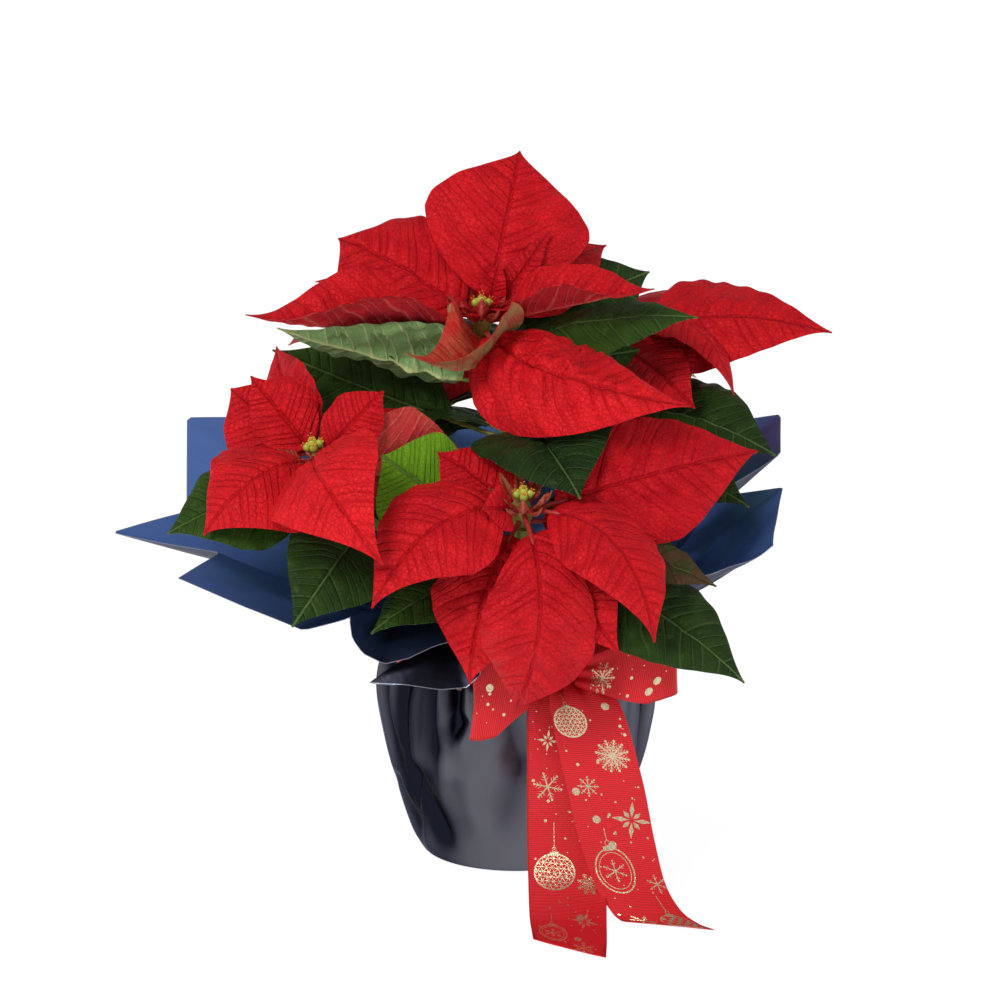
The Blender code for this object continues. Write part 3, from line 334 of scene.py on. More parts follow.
# Film colours: dark is the colour of the painted shade, lip that of a painted highlight along the free edge
filmLooks = {
    "outside": ((0.085, 0.085, 0.105), (0.13, 0.13, 0.155)), "outsideRoughness": 0.36,
    "inside": ((0.13, 0.25, 0.7), (0.24, 0.41, 0.98)), "insideRoughness": 0.4,
    "metallic": 0.85, "tint": (0.25, 0.27, 0.35, 1.0), "dark": (0.008, 0.009, 0.018),
    "lip": (0.4, 0.43, 0.5), "lipHighlightStep": (0.9982, 0.9994, 0.0, 0.7), "cloud": (14.0, 2.0),
    "crumple": (42.0, 3.0, 0.55), "crumpleDent": (0.0022, 0.45), "grain": (1500.0, 1.0),
    "grainDent": (0.00006, 0.3),
}


def filmFinish():
    # filmLook holds the side, 0 charcoal outside and 1 navy inside, the height, which puts a painted
    # highlight on the free edge, and the share of painted shade from folds, the hollow side, the roll and the
    # deep collar
    look = filmLooks
    material, tree, shader = paint(
        "film", look["dark"], look["insideRoughness"], look["metallic"], Specular_Tint=look["tint"])
    _, side, height, shade = split(tree, "filmLook")
    place = places(tree)
    cloud = noise(tree, place, *look["cloud"])
    outside, inside = (blendOf(tree, cloud, *look[key]) for key in ("outside", "inside"))
    # painted shade: the colour goes towards near black where filmLook's third number is high
    colour = blendOf(tree, shade, blendOf(tree, side, outside, inside), look["dark"])
    # painted highlight: a pale line along the film's free edge, on its last row of points
    lip = ramp(tree, height, *look["lipHighlightStep"])
    put(tree, shader.inputs["Base Color"], blendOf(tree, lip, colour, look["lip"]))
    roughness = ramp(tree, side, 0.0, 1.0, look["outsideRoughness"], look["insideRoughness"])
    put(tree, shader.inputs["Roughness"], roughness)
    soft = dent(tree, shader, noise(tree, place, *look["crumple"]), *look["crumpleDent"])
    dent(tree, shader, noise(tree, place, *look["grain"]), *look["grainDent"], soft)
    return material


ribbonLooks = {
    "roughness": 0.5, "gloss": 0.3, "body": ((0.4, 0.003, 0.008), (0.85, 0.01, 0.018)),
    "slub": (0.7, 0.02, 0.03), "slubShare": 0.35, "slubStretch": (0.08, 2.2, 0),
    "selvedge": (0.42, 0.006, 0.012), "selvedgeFrom": (17.9, 18.4),
    "ribEvery": 0.95, "threadEvery": 0.42, "ribShare": 0.5, "threadShare": 0.12, "dent": (0.00016, 0.8),
}


def ribbonFinish():
    # ribbonPlace holds millimetres across and along the ribbon
    look = ribbonLooks
    material, tree, shader = paint(
        "ribbon", look["body"][0], look["roughness"], Specular_IOR_Level=look["gloss"])
    place, across, along, _ = split(tree, "ribbonPlace")
    rib = calc(tree, "SINE", times(tree, along, 2 * math.pi / look["ribEvery"]))
    thread = calc(tree, "SINE", times(tree, across, 2 * math.pi / look["threadEvery"]))
    selvedge = ramp(tree, calc(tree, "ABSOLUTE", across), *look["selvedgeFrom"])
    slub = noise(tree, stretched(tree, place, look["slubStretch"]), 1.0)
    body = blendOf(tree, ramp(tree, rib, -1.0, 1.0), *look["body"])
    body = blendOf(tree, times(tree, slub, look["slubShare"]), body, look["slub"])
    put(tree, shader.inputs["Base Color"], blendOf(tree, selvedge, body, look["selvedge"]))
    weave = calc(tree, "ADD", times(tree, rib, look["ribShare"]), times(tree, thread, look["threadShare"]))
    dent(tree, shader, weave, *look["dent"])
    return material


foilLooks = {
    "metallic": 0.9, "gold": ((0.5, 0.33, 0.16), (0.98, 0.86, 0.62)), "grain": (900.0, 2.0, 0.7),
    "shine": (2600.0, 1.0), "shineStep": (0.3, 0.7, 0.22, 0.5), "dent": (0.0003, 0.8),
}


def foilFinish():
    look = foilLooks
    material, tree, shader = paint("foil", look["gold"][1], look["shineStep"][2], look["metallic"])
    place = places(tree)
    grain = noise(tree, place, *look["grain"])
    put(tree, shader.inputs["Base Color"], blendOf(tree, grain, *look["gold"]))
    put(tree, shader.inputs["Roughness"], ramp(tree, noise(tree, place, *look["shine"]), *look["shineStep"]))
    dent(tree, shader, grain, *look["dent"])
    return material


potLooks = {
    "roughness": 0.45, "clay": ((0.17, 0.055, 0.028), (0.24, 0.085, 0.04)), "cloud": (30.0, 3.0),
    "grain": (700.0, 2.0), "dent": (0.0002, 0.3),
}


def potFinish():
    look = potLooks
    material, tree, shader = paint("pot", look["clay"][0], look["roughness"])
    place = places(tree)
    put(tree, shader.inputs["Base Color"], blendOf(tree, noise(tree, place, *look["cloud"]), *look["clay"]))
    grain = noise(tree, stretched(tree, place, (1, 1, 3)), *look["grain"])
    dent(tree, shader, grain, *look["dent"])
    return material


soilLooks = {
    "roughness": 0.95, "peat": ((0.012, 0.007, 0.004), (0.07, 0.04, 0.02)), "speck": (0.5, 0.46, 0.4),
    "crumb": (420.0, "F1"), "fibre": (900.0, 4.0, 0.7), "specks": (260.0, 1.0), "speckStep": (0.72, 0.76),
    "dent": (0.0012, 0.9),
}
grainLooks = {
    "roughness": 0.85, "pale": ((0.42, 0.38, 0.31), (0.8, 0.78, 0.72)), "speck": (1200.0, 3.0, 0.6),
    "dent": (0.0004, 0.8),
}


def soilFinish():
    look = soilLooks
    material, tree, shader = paint("soil", look["peat"][0], look["roughness"])
    place = places(tree)
    crumb, fibre = cells(tree, place, *look["crumb"]), noise(tree, place, *look["fibre"])
    dark = blendOf(tree, fibre, *look["peat"])
    pale = ramp(tree, noise(tree, place, *look["specks"]), *look["speckStep"])
    put(tree, shader.inputs["Base Color"], blendOf(tree, pale, dark, look["speck"]))
    dent(tree, shader, calc(tree, "ADD", crumb, fibre), *look["dent"])
    return material


def grainFinish():  # the pale grains in the soil
    look = grainLooks
    material, tree, shader = paint("perlite", look["pale"][0], look["roughness"])
    speck = noise(tree, places(tree), *look["speck"])
    put(tree, shader.inputs["Base Color"], blendOf(tree, speck, *look["pale"]))
    dent(tree, shader, speck, *look["dent"])
    return material


# Meshes: grids as closed sheets, and pieces put together from several of them
def sheetFaces(rows, columns, around=False):
    # Quads of the upper grid, of the lower grid turned over, and of the rim that joins their edges. Both
    # grids start each quad at the same corner, so they are cut into triangles the same way.
    across = columns if around else columns - 1
    i, j = pairs(np.arange(rows - 1), np.arange(across))
    after = (j + 1) % columns
    here, beyond = i * columns, (i + 1) * columns
    upper = np.stack([here + j, here + after, beyond + after, beyond + j], 1)
    lower = upper[:, [0, 3, 2, 1]] + rows * columns
    first, last = np.arange(columns), (rows - 1) * columns + np.arange(columns)
    if around:
        edges = [np.stack([first, np.roll(first, -1)], 1), np.stack([np.roll(last, -1), last], 1)]
    else:
        left, right = np.arange(rows) * columns, np.arange(rows) * columns + columns - 1
        loop = np.concatenate([first[:-1], right[:-1], last[:0:-1], left[:0:-1]])
        edges = [np.stack([loop, np.roll(loop, -1)], 1)]
    edges = np.concatenate(edges)
    rim = np.stack([edges[:, 1], edges[:, 0], edges[:, 0] + rows * columns, edges[:, 1] + rows * columns], 1)
    return np.concatenate([upper, lower, rim])


def fan(ring, middle, turned=False):  # triangles from a closed ring onto one middle point
    pair = [np.roll(ring, -1), ring] if turned else [ring, np.roll(ring, -1)]
    return np.stack(pair + [np.full(len(ring), middle)], 1)


def tubeFaces(rings, sides):
    # Quads round a tube, and a fan at each end onto a middle point that follows the rings
    i, j = pairs(np.arange(rings - 1), np.arange(sides))
    here, beyond, after = i * sides, (i + 1) * sides, (j + 1) % sides
    wall = np.stack([here + j, here + after, beyond + after, beyond + j], 1)
    ring, count = np.arange(sides), rings * sides
    return wall, np.concatenate([fan(ring, count, True), fan(count - sides + ring, count + 1)])


sharpFrom = math.radians(62)  # edges that bend more than this are shaded as edges


class Parts:  # gathers points, faces, finishes and point attributes, then makes one mesh of them
    def __init__(self, *attributes):
        self.points, self.quads, self.threes = [], [], []
        self.quadFinish, self.threeFinish = [], []
        self.attributes = {name: [] for name in attributes}
        self.count = 0

    def add(self, points, quads, finish=0, threes=None, **values):
        points = np.asarray(points, float).reshape(-1, 3)
        self.points.append(points)
        if quads is not None and len(quads):
            self.quads.append(np.asarray(quads) + self.count)
            self.quadFinish.append(np.full(len(quads), finish))
        if threes is not None and len(threes):
            self.threes.append(np.asarray(threes) + self.count)
            self.threeFinish.append(np.full(len(threes), finish))
        for name, kept in self.attributes.items():
            kept.append(np.broadcast_to(np.asarray(values[name], float), (len(points), 3)))
        self.count += len(points)

    def sheet(self, top, low, around=False, **values):
        # Closed sheet between two grids of points; each value is given for the upper and the lower one
        rows, columns = top.shape[:2]
        points = np.concatenate([top.reshape(-1, 3), low.reshape(-1, 3)])
        values = {name: np.concatenate(both) for name, both in values.items()}
        self.add(points, sheetFaces(rows, columns, around), **values)

    def piece(self, name, finishes, slot, *nodes):
        faces = [f for block in self.quads + self.threes for f in block.tolist()]
        mesh = bpy.data.meshes.new(name)
        mesh.from_pydata((np.concatenate(self.points) * mm).tolist(), [], faces)
        for finish in finishes:
            mesh.materials.append(finish)
        which = np.concatenate(self.quadFinish + self.threeFinish).astype(np.int32)
        mesh.polygons.foreach_set("material_index", which)
        mesh.polygons.foreach_set("use_smooth", np.full(len(faces), True))
        for key, kept in self.attributes.items():
            layer = mesh.attributes.new(key, "FLOAT_VECTOR", "POINT")
            layer.data.foreach_set("vector", np.concatenate(kept).ravel())
        mesh.update()
        mesh.set_sharp_from_angle(angle=sharpFrom)
        obj = bpy.data.objects.new(name, mesh)
        bpy.context.scene.collection.objects.link(obj)
        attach(obj, "root")
        if nodes:
            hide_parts(*nodes)
        print(name, len(faces), "faces")
        return obj


def gridNormals(grid, around=False):
    # Unit normal at each point of a grid, from the steps to its neighbours
    down = np.gradient(grid, axis=0)
    if around:
        across = (np.roll(grid, -1, 1) - np.roll(grid, 1, 1)) / 2
    else:
        across = np.gradient(grid, axis=1)
    return units(np.cross(across, down))


def smoothLine(points, count):
    # Smooth curve through the given points, count places evenly spaced from point to point
    points = vec(points)
    padded = np.vstack([2 * points[0] - points[1], points, 2 * points[-1] - points[-2]])
    step = np.linspace(0, len(points) - 1, count)
    i = np.minimum(step.astype(int), len(points) - 2)
    t = (step - i)[:, None]
    a, b, c, d = padded[i], padded[i + 1], padded[i + 2], padded[i + 3]
    bend, twist = 2 * a - 5 * b + 4 * c - d, 3 * b - a - 3 * c + d
    return 0.5 * (2 * b + (c - a) * t + bend * t ** 2 + twist * t ** 3)


def lengthsAlong(line):  # distance from the first point to each point of a line
    return np.concatenate([[0], np.cumsum(np.linalg.norm(np.diff(line, axis=0), axis=1))])


def tubeRings(line, radii, sides):
    # Rings of points round a line, square to it, each with its own radius
    ahead = units(np.gradient(line, axis=0))
    one = units(np.cross(ahead, vec((0.2, 1, 0.1))))
    two = np.cross(one, ahead)
    a = np.linspace(0, 2 * np.pi, sides, endpoint=False)
    turn = np.cos(a)[None, :, None] * one[:, None] + np.sin(a)[None, :, None] * two[:, None]
    return line[:, None] + turn * np.asarray(radii)[:, None, None]


def addTube(parts, line, radii, sides, finish=0, **values):
    rings = tubeRings(line, radii, sides)
    points = np.concatenate([rings.reshape(-1, 3), line[:1], line[-1:]])
    wall, ends = tubeFaces(len(line), sides)
    parts.add(points, wall, finish, ends, **values)


# The plant's plan: branches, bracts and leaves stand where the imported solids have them
plan = {"hubRadius": 4.6, "hubDrop": 8.0, "stem": 2.7, "trunk": 4.5, "trunkRoot": 64.0, "trunkTop": 152.0}

# Each branch leaves the trunk at a height and ends under its flower head
branches = {
    "top": dict(start=(0, 0, 150), bow=(4, 6, 205), hub=(-17, 0, 272), axis=(0, -0.25, 1)),
    "left": dict(start=(0, 0, 128), bow=(-48, -18, 158), hub=(-96, -55, 212), axis=(-0.3, -0.5, 1)),
    "front": dict(start=(0, 0, 120), bow=(-2, -52, 140), hub=(3, -84, 194), axis=(0, -0.5, 1)),
    "right": dict(start=(0, 0, 136), bow=(38, 26, 176), hub=(52, 56, 258), axis=(0.3, 0.15, 1)),
    "back": dict(start=(0, 0, 142), bow=(-34, 44, 176), hub=(-56, 72, 236), axis=(-0.3, 0.5, 1)),
}


def blade(tip, face, width, arch=0, fold=0, curl=0, **more):
    # tip: where it ends; face: the way its upper side faces; arch: rise of the midrib as a share of the
    # length; fold and curl: degrees. Further: sweep (sideways bend), widest (place of the full width),
    # stalk (its share of the length), lobe (corners, left and right), wave (of the edge), plain (hidden,
    # so coarser), low and out (place on the head). Looks: tone (brightness), odd (share of the odd
    # colour), oddAbove (how much of that the upper side has) and pucker.
    usual = dict(sweep=0, widest=0.42, stalk=0.12, lobe=(0, 0), wave=1.6, plain=False, low=3, out=1.5,
                 tone=0.45, odd=0.0, oddAbove=1.0, pucker=1.0)
    return dict(usual, tip=tip, face=face, width=width, arch=arch, fold=fold, curl=curl, **more)


def leaf(on, at, *form, tone=0.06, **more):  # a blade on a branch, at a share of the branch's length
    return blade(*form, on=on, at=at, tone=tone, **more)


# Red bracts of each head
bracts = {
    "top": [
        blade((2, 46, 349), (0.15, -1, 0.5), 75, 0.06, 6, -8, low=3, out=4, lobe=(3, 5), widest=0.55,
              tone=0.4),
        blade((-132, -24, 277), (0, -0.2, 1), 62, -0.04, 60, -8, low=5, out=3.5, stalk=0.05, tone=0.6,
              pucker=1.6),
        blade((67, -26, 290), (0.1, -0.3, 1), 46, 0, 54, -8, low=2, out=3.5, stalk=0.05, tone=0.6),
        blade((83, -70, 240), (0.2, -1, 0.7), 68, 0.14, -14, -14, widest=0.36, low=7, stalk=0.06,
              sweep=0.16, tone=0.75, pucker=2.8),
        blade((-54, -46, 262), (0.1, 0.2, 1), 68, -0.16, 58, 8, low=9, out=-3, widest=0.28, stalk=0.05,
              sweep=-0.26, odd=0.9, oddAbove=0.3, pucker=0.9),
        blade((-89, 30, 307), (-0.1, -0.9, 0.9), 66, 0.1, 4, -12, low=4, widest=0.6, pucker=1.5),
        blade((-105, 50, 284), (-0.2, -0.4, 1), 48, 0.1, 14, -8, low=9),
        blade((46, 56, 300), (0.2, -0.6, 1), 44, 0.1, 6, -12, low=6),
        blade((-38, 90, 286), (0, 0.3, 1), 58, 0.12, 6, -12, low=8),
        blade((18, 88, 284), (0.1, 0.4, 1), 50, 0.12, 6, -12, low=10),
        blade((-8, 6, 299), (0.2, -1, 0.3), 12, fold=10, low=2, out=4, stalk=0.1, tone=0.3),
        blade((17, 10, 314), (0.1, -1, 0.4), 13, fold=10, low=2, out=4, stalk=0.1, tone=0.3),
    ],
    "left": [
        blade((-62, -134, 177), (-0.5, -1, 0.8), 62, 0.3, 0, -8, low=2, widest=0.36, stalk=0.06, tone=0.95),
        blade((-149, -88, 181), (-0.3, -0.9, 0.7), 64, 0.27, -6, -14, low=4, tone=0.6),
        blade((-64, -52, 244), (0.1, -1, 0.5), 27, 0.14, 4, -10, low=2, widest=0.55),
        blade((-140, -22, 240), (-0.2, -1, 0.6), 50, 0.08, 4, -12, low=4, widest=0.5),
        blade((-127, -34, 250), (-0.1, -1, 0.4), 30, 0.05, 8, -8, low=1),
        blade((-20, -36, 206), (-0.1, 0.9, 0.3), 64, -0.14, 12, 14, low=6, widest=0.45, odd=0.12,
              pucker=1.4),
        blade((-120, 18, 254), (-0.7, 0.1, 0.6), 34, 0.06, 14, -8, low=8),
        blade((-60, 18, 222), (0, 0.2, 1), 44, 0.12, 6, -12, low=8),
    ],
    "front": [
        blade((0, -108, 101), (0.05, -1, 0.3), 56, 0.4, -4, -14, sweep=-0.08, low=2, widest=0.66, tone=0.25,
              pucker=1.3),
        blade((64, -134, 140), (0.35, -1, 0.6), 48, 0.22, -4, -14, low=2, sweep=-0.1, tone=0.4),
        blade((-68, -124, 154), (-0.3, -1, 0.8), 58, 0.2, 4, -14, sweep=0.08, low=1, widest=0.34),
        blade((117, -48, 214), (0.1, -1, 0.6), 62, 0.06, 2, -8, low=4, lobe=(0, 3), tone=0.05),
        blade((-22, -118, 117), (-0.5, -1, 0.3), 58, 0.16, 4, -12, low=6, pucker=1.6),
        blade((48, -122, 132), (0.2, -1, 0.3), 46, 0.14, 4, -10, low=8),
        blade((70, -84, 178), (0.1, -0.7, 1), 30, 0.08, 10, -8, low=9),
        blade((-16, -106, 198), (0, -1, 0.4), 22, 0.04, 14, 0, stalk=0.3, low=2),
        blade((-38, -62, 216), (-0.1, -0.8, 0.8), 40, 0.08, 6, -8, low=5),
    ],
    "right": [
        blade((160, 38, 258), (0.05, -0.9, 0.9), 58, 0.12, -6, -10, low=1, widest=0.26, tone=0.5),
        blade((109, 8, 231), (0.5, -0.3, 1), 34, 0.3, -16, -10, low=3),
        blade((84, 4, 226), (0.2, -1, 0.4), 56, 0.06, 6, -10, lobe=(0, 6), low=6),
        blade((88, -16, 229), (0.2, -0.8, 0.7), 34, 0.08, 8, -8, low=9),
        blade((128, 92, 258), (0.3, 0.3, 1), 52, 0.14, 6, -12, low=4),
        blade((82, 146, 248), (0, 0.6, 1), 56, 0.14, 6, -14, low=2),
        blade((18, 118, 256), (-0.2, 0.5, 1), 50, 0.12, 8, -10, low=5),
    ],
    "back": [
        blade((-118, 88, 228), (-0.3, -0.1, 1), 50, 0.14, 6, -12, low=3),
        blade((-122, 134, 226), (-0.3, 0.5, 1), 54, 0.14, 6, -14, low=6),
        blade((-62, 162, 226), (0, 0.7, 1), 58, 0.14, 4, -14, low=2),
        blade((-6, 128, 222), (0.3, 0.5, 1), 52, 0.12, 8, -10, low=5),
        blade((-104, 28, 240), (-0.2, -0.5, 1), 38, 0.1, 10, -8, low=6),
        blade((-16, 20, 234), (0.1, -0.9, 0.6), 54, 0.08, 8, -8, low=7),
    ],
}

# Green leaves
leaves = [
    leaf("top", 0.5, (28, -98, 206), (-0.15, -0.8, 0.9), 72, 0.12, 30, -16, stalk=0.42, widest=0.3,
         tone=0.02),
    leaf("top", 0.68, (-117, -8, 272), (0.05, 0.8, 0.6), 58, -0.02, 30, -8, stalk=0.14, widest=0.26,
         pucker=3.0),
    leaf("top", 0.42, (-122.5, 20, 253.5), (0, -1, 0.4), 46, -0.06, 6, -8, stalk=0.24, tone=0.1),
    leaf("top", 0.88, (89, -14, 274), (0.1, -0.7, 1), 48, 0.08, -6, -10, tone=0.12),
    leaf("top", 0.9, (64.5, 50, 300.4), (0.1, -1, 0.5), 50, 0.08, 8, -10, stalk=0.2),
    leaf("top", 0.7, (62, 20, 252), (0.2, -0.8, 0.6), 40, 0.1, 8, -10, stalk=0.3),
    leaf("front", 0.7, (-65, -60, 214), (-0.1, -1, 0.3), 50, 0, 8, -8, stalk=0.5, widest=0.55, tone=0.95,
         pucker=0.6),
    leaf("left", 0.88, (-167, -78, 182), (-0.2, -0.9, 0.8), 58, 0.12, 6, -14, stalk=0.2, tone=0.14),
    leaf("left", 0.6, (-106, -112, 142), (0, -1, 0.5), 50, 0.2, 10, -10, stalk=0.3),
    leaf("front", 0.35, (-62, -106, 146), (-0.2, -0.6, 1), 40, 0.16, 6, -12, stalk=0.3, tone=0.12),
    leaf("front", 0.55, (104, -122, 118), (0.4, -0.9, 0.8), 54, 0.16, 6, -12, stalk=0.3),
    leaf("front", 0.75, (95, -92, 157), (0.3, -0.8, 0.8), 32, 0.12, 10, -10, stalk=0.3, odd=1.0),
    leaf("right", 0.6, (128, -20, 206), (0.3, -0.9, 0.7), 62, 0.16, 6, -12, stalk=0.2),
    leaf("right", 0.4, (114, -38, 184), (0.3, -0.7, 0.9), 50, 0.14, 6, -12, stalk=0.25),
    leaf("right", 0.65, (114, 66, 212), (0.3, 0.2, 1), 50, 0.16, 6, -14, stalk=0.2),
    leaf("right", 0.55, (92, 128, 202), (0.2, 0.7, 1), 52, 0.16, 6, -14, stalk=0.2),
    leaf("right", 0.75, (10, 108, 228), (-0.2, 0.5, 1), 44, 0.14, 6, -12, stalk=0.2),
    leaf("back", 0.5, (-142, 40, 206), (-0.3, 0, 1), 52, 0.14, 6, -14, stalk=0.2),
    leaf("back", 0.6, (-134, 112, 194), (-0.3, 0.6, 1), 52, 0.16, 6, -14, stalk=0.2),
    leaf("back", 0.5, (-50, 150, 184), (0, 0.8, 1), 54, 0.16, 6, -14, stalk=0.2),
    leaf("back", 0.7, (20, 142, 200), (0.3, 0.7, 1), 46, 0.14, 6, -12, stalk=0.2),
    leaf("front", 0.6, (52, -56, 184), (0.2, -0.9, 0.6), 44, 0.1, 6, -10, stalk=0.3),
    leaf("top", 0.6, (-44, 98, 240), (-0.1, 0.5, 1), 52, 0.14, 6, -12, stalk=0.24),
    leaf("top", 0.7, (34, 94, 246), (0.1, 0.5, 1), 50, 0.14, 6, -12, stalk=0.24),
    leaf("back", 0.35, (-98, 146, 182), (-0.2, 0.8, 1), 50, 0.16, 6, -12, stalk=0.24),
    leaf("right", 0.4, (48, 140, 186), (0.1, 0.8, 1), 50, 0.16, 6, -12, stalk=0.24),
    leaf("right", 0.3, (104, 22, 184), (0.3, 0, 1), 48, 0.16, 6, -10, plain=True),
    leaf("left", 0.35, (-92, 14, 190), (-0.3, 0, 1), 48, 0.16, 6, -10, plain=True),
    leaf("top", 0.35, (58, -34, 222), (0.2, -0.4, 1), 44, 0.12, 6, -10, plain=True),
    leaf("top", 0.45, (-62, 34, 226), (-0.2, 0.2, 1), 44, 0.12, 6, -10, plain=True),
    leaf("top", 0.3, (46, 62, 214), (0.2, 0.3, 1), 46, 0.12, 6, -10, plain=True),
    leaf("left", 0.5, (-120, -30, 196), (-0.2, -0.3, 1), 42, 0.12, 6, -10, plain=True),
    leaf("front", 0.45, (-46, -60, 182), (-0.2, -0.9, 0.6), 44, 0.1, 6, -10, stalk=0.3),
]


def branchLine(branch, count=7):
    # Cubic from the trunk to just under the head: out by way of the bow, up along the head's axis
    axis = unit(vec(branch["axis"]))
    end = vec(branch["hub"]) - axis * (plan["hubDrop"] + plan["hubRadius"] + gap)
    start, bow = vec(branch["start"]), vec(branch["bow"])
    below = end - axis * 0.3 * np.linalg.norm(end - bow)
    t = np.linspace(0, 1, count)[:, None]
    return (1 - t) ** 3 * start + 3 * (1 - t) ** 2 * t * bow + 3 * (1 - t) * t ** 2 * below + t ** 3 * end


bladeShape = {
    "stalk": 1.3, "tip": 0.5, "ripples": 1.6, "rippleShift": 2.2,
    "frontRows": (0.0, 0.14, 0.34, 0.56, 0.8, 1.0), "frontColumns": (-1.0, -0.5, 0.0, 0.5, 1.0),
    "backRows": (0.0, 0.18, 0.46, 0.76, 1.0), "backColumns": (-1.0, 0.0, 1.0), "backFrom": 60.0,
    "smallRows": (0.0, 0.3, 0.65, 1.0), "smallColumns": (-1.0, 1.0), "smallWidth": 14, "lobeReach": 0.2,
}


def bladeOutline(t, widest):
    # Share of the full half width: rises round from the base, falls to a drawn-out tip
    rising = np.clip(1 - t / widest, 0, 1)
    falling = np.clip((t - widest) / (1 - widest), 0, 1)
    return np.where(t < widest, (1 - rising ** 2.4) ** 0.75, (1 - falling ** 2.1) ** 1.6)


def bladeFrame(form, u):
    # Middle line of a blade, an arched chord, with the directions up off its face and across it
    root, tip = vec(form["root"]), vec(form["tip"])
    chord = tip - root
    length = np.linalg.norm(chord)
    along = chord / length
    face = unit(vec(form["face"]))
    lift = unit(face - (face @ along) * along)
    side = np.cross(along, lift)
    bend = length * (form["arch"] * lift + form["sweep"] * side)
    middle = root + chord * u[:, None] + 4 * (u * (1 - u))[:, None] * bend
    ahead = units(chord + 4 * (1 - 2 * u)[:, None] * bend)
    up = units(lift - (ahead @ lift)[:, None] * ahead)
    return middle, up, np.cross(ahead, up)


def bladeSection(form, u, v, grow=0.0):
    # Section of a blade: half width from the outline, folded at the midrib and curled towards the edge
    stalk = form["stalk"]
    t = np.clip((u - stalk) / (1 - stalk), 0, 1)
    shape = bladeOutline(t, form["widest"])
    half = bladeShape["stalk"] + (bladeShape["tip"] - bladeShape["stalk"]) * t + form["width"] / 2 * shape
    left, right = form["lobe"]
    corner = np.clip(1 - np.abs(t - 0.5) / bladeShape["lobeReach"], 0, 1)
    half = half + grow + corner * np.where(v < 0, left, right)
    fold = np.radians(form["fold"]) * shape
    curl = np.radians(form["curl"]) * 2 * shape
    curl = np.where(np.abs(curl) < 1e-4, 1e-4, curl)
    out = np.abs(v)
    flat = (np.sin(fold + curl * out) - np.sin(fold)) / curl
    rise = (np.cos(fold) - np.cos(fold + curl * out)) / curl
    phase = 2 * np.pi * bladeShape["ripples"] * t + bladeShape["rippleShift"] * (v > 0)
    ripple = form["wave"] * np.sin(phase) * out ** 2 * shape
    return t, shape, half, flat * half, half * rise + ripple, fold + curl * out


def bladePoints(form, u, v, grow=0.0, liftBy=0.0):
    middle, up, across = bladeFrame(form, u)
    _, _, _, flat, high, _ = bladeSection(form, u, v, grow)
    return middle + across * (np.sign(v) * flat)[:, None] + up * (high + liftBy)[:, None]


def isHidden(form):
    return form["tip"][1] > bladeShape["backFrom"] or form["plain"]


def kindOf(form):  # a small blade, or one that is hidden or behind, has fewer points
    if form["width"] < bladeShape["smallWidth"]:
        return "small"
    return "back" if isHidden(form) else "front"


def bladeSplit(form):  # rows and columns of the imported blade
    kind = kindOf(form)
    return bladeShape[kind + "Rows"], bladeShape[kind + "Columns"]


def coarseBlade(form, grow=0.0, liftBy=0.0, fromBlade=False):
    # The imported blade's points and triangles, only for the crossing test
    stalk = form["stalk"]
    steps, columns = bladeSplit(form)
    rows = [0.0] + [stalk + (1 - stalk) * s for s in steps]
    rows = rows[2:] if fromBlade else rows
    u, v = pairs(rows, columns)
    wide = len(columns)
    i, j = pairs(np.arange(len(rows) - 1), np.arange(wide - 1))
    a = i * wide + j
    faces = np.stack([a, a + 1, a + wide + 1, a, a + wide + 1, a + wide], 1).reshape(-1, 3)
    return bladePoints(form, u, v, grow, liftBy), faces.tolist()


# Settling: a blade that would cross another swings about its root, by the least that clears it
settling = {
    "pitches": range(-24, 25, 3), "yaws": range(-18, 19, 3), "rolls": (-16, -8, 0, 8, 16),
    "rollCost": 0.35, "ownCost": 9, "otherCost": 1000, "clearance": 0.9, "grow": 1.0,
}


def effortOf(swing):
    return math.hypot(swing[0], swing[1]) + settling["rollCost"] * abs(swing[2])


def rotation(axis, degrees):  # matrix that turns about an axis
    a = math.radians(degrees)
    x, y, z = axis
    skew = np.array([[0, -z, y], [z, 0, -x], [-y, x, 0]])
    return np.eye(3) + math.sin(a) * skew + (1 - math.cos(a)) * skew @ skew


def swung(form, pitch, yaw, roll):
    # The same blade with its tip swung up by pitch and round by yaw, and its face rolled
    root, tip, face = vec(form["root"]), vec(form["tip"]), unit(vec(form["face"]))
    chord = tip - root
    level = unit(np.cross(chord, face))
    turn = rotation(level, pitch) @ rotation(face, yaw) @ rotation(unit(chord), roll)
    return dict(form, tip=tuple(root + turn @ chord), face=tuple(turn @ face))


def treeOf(points, faces):
    return BVHTree.FromPolygons([tuple(p) for p in points], faces)


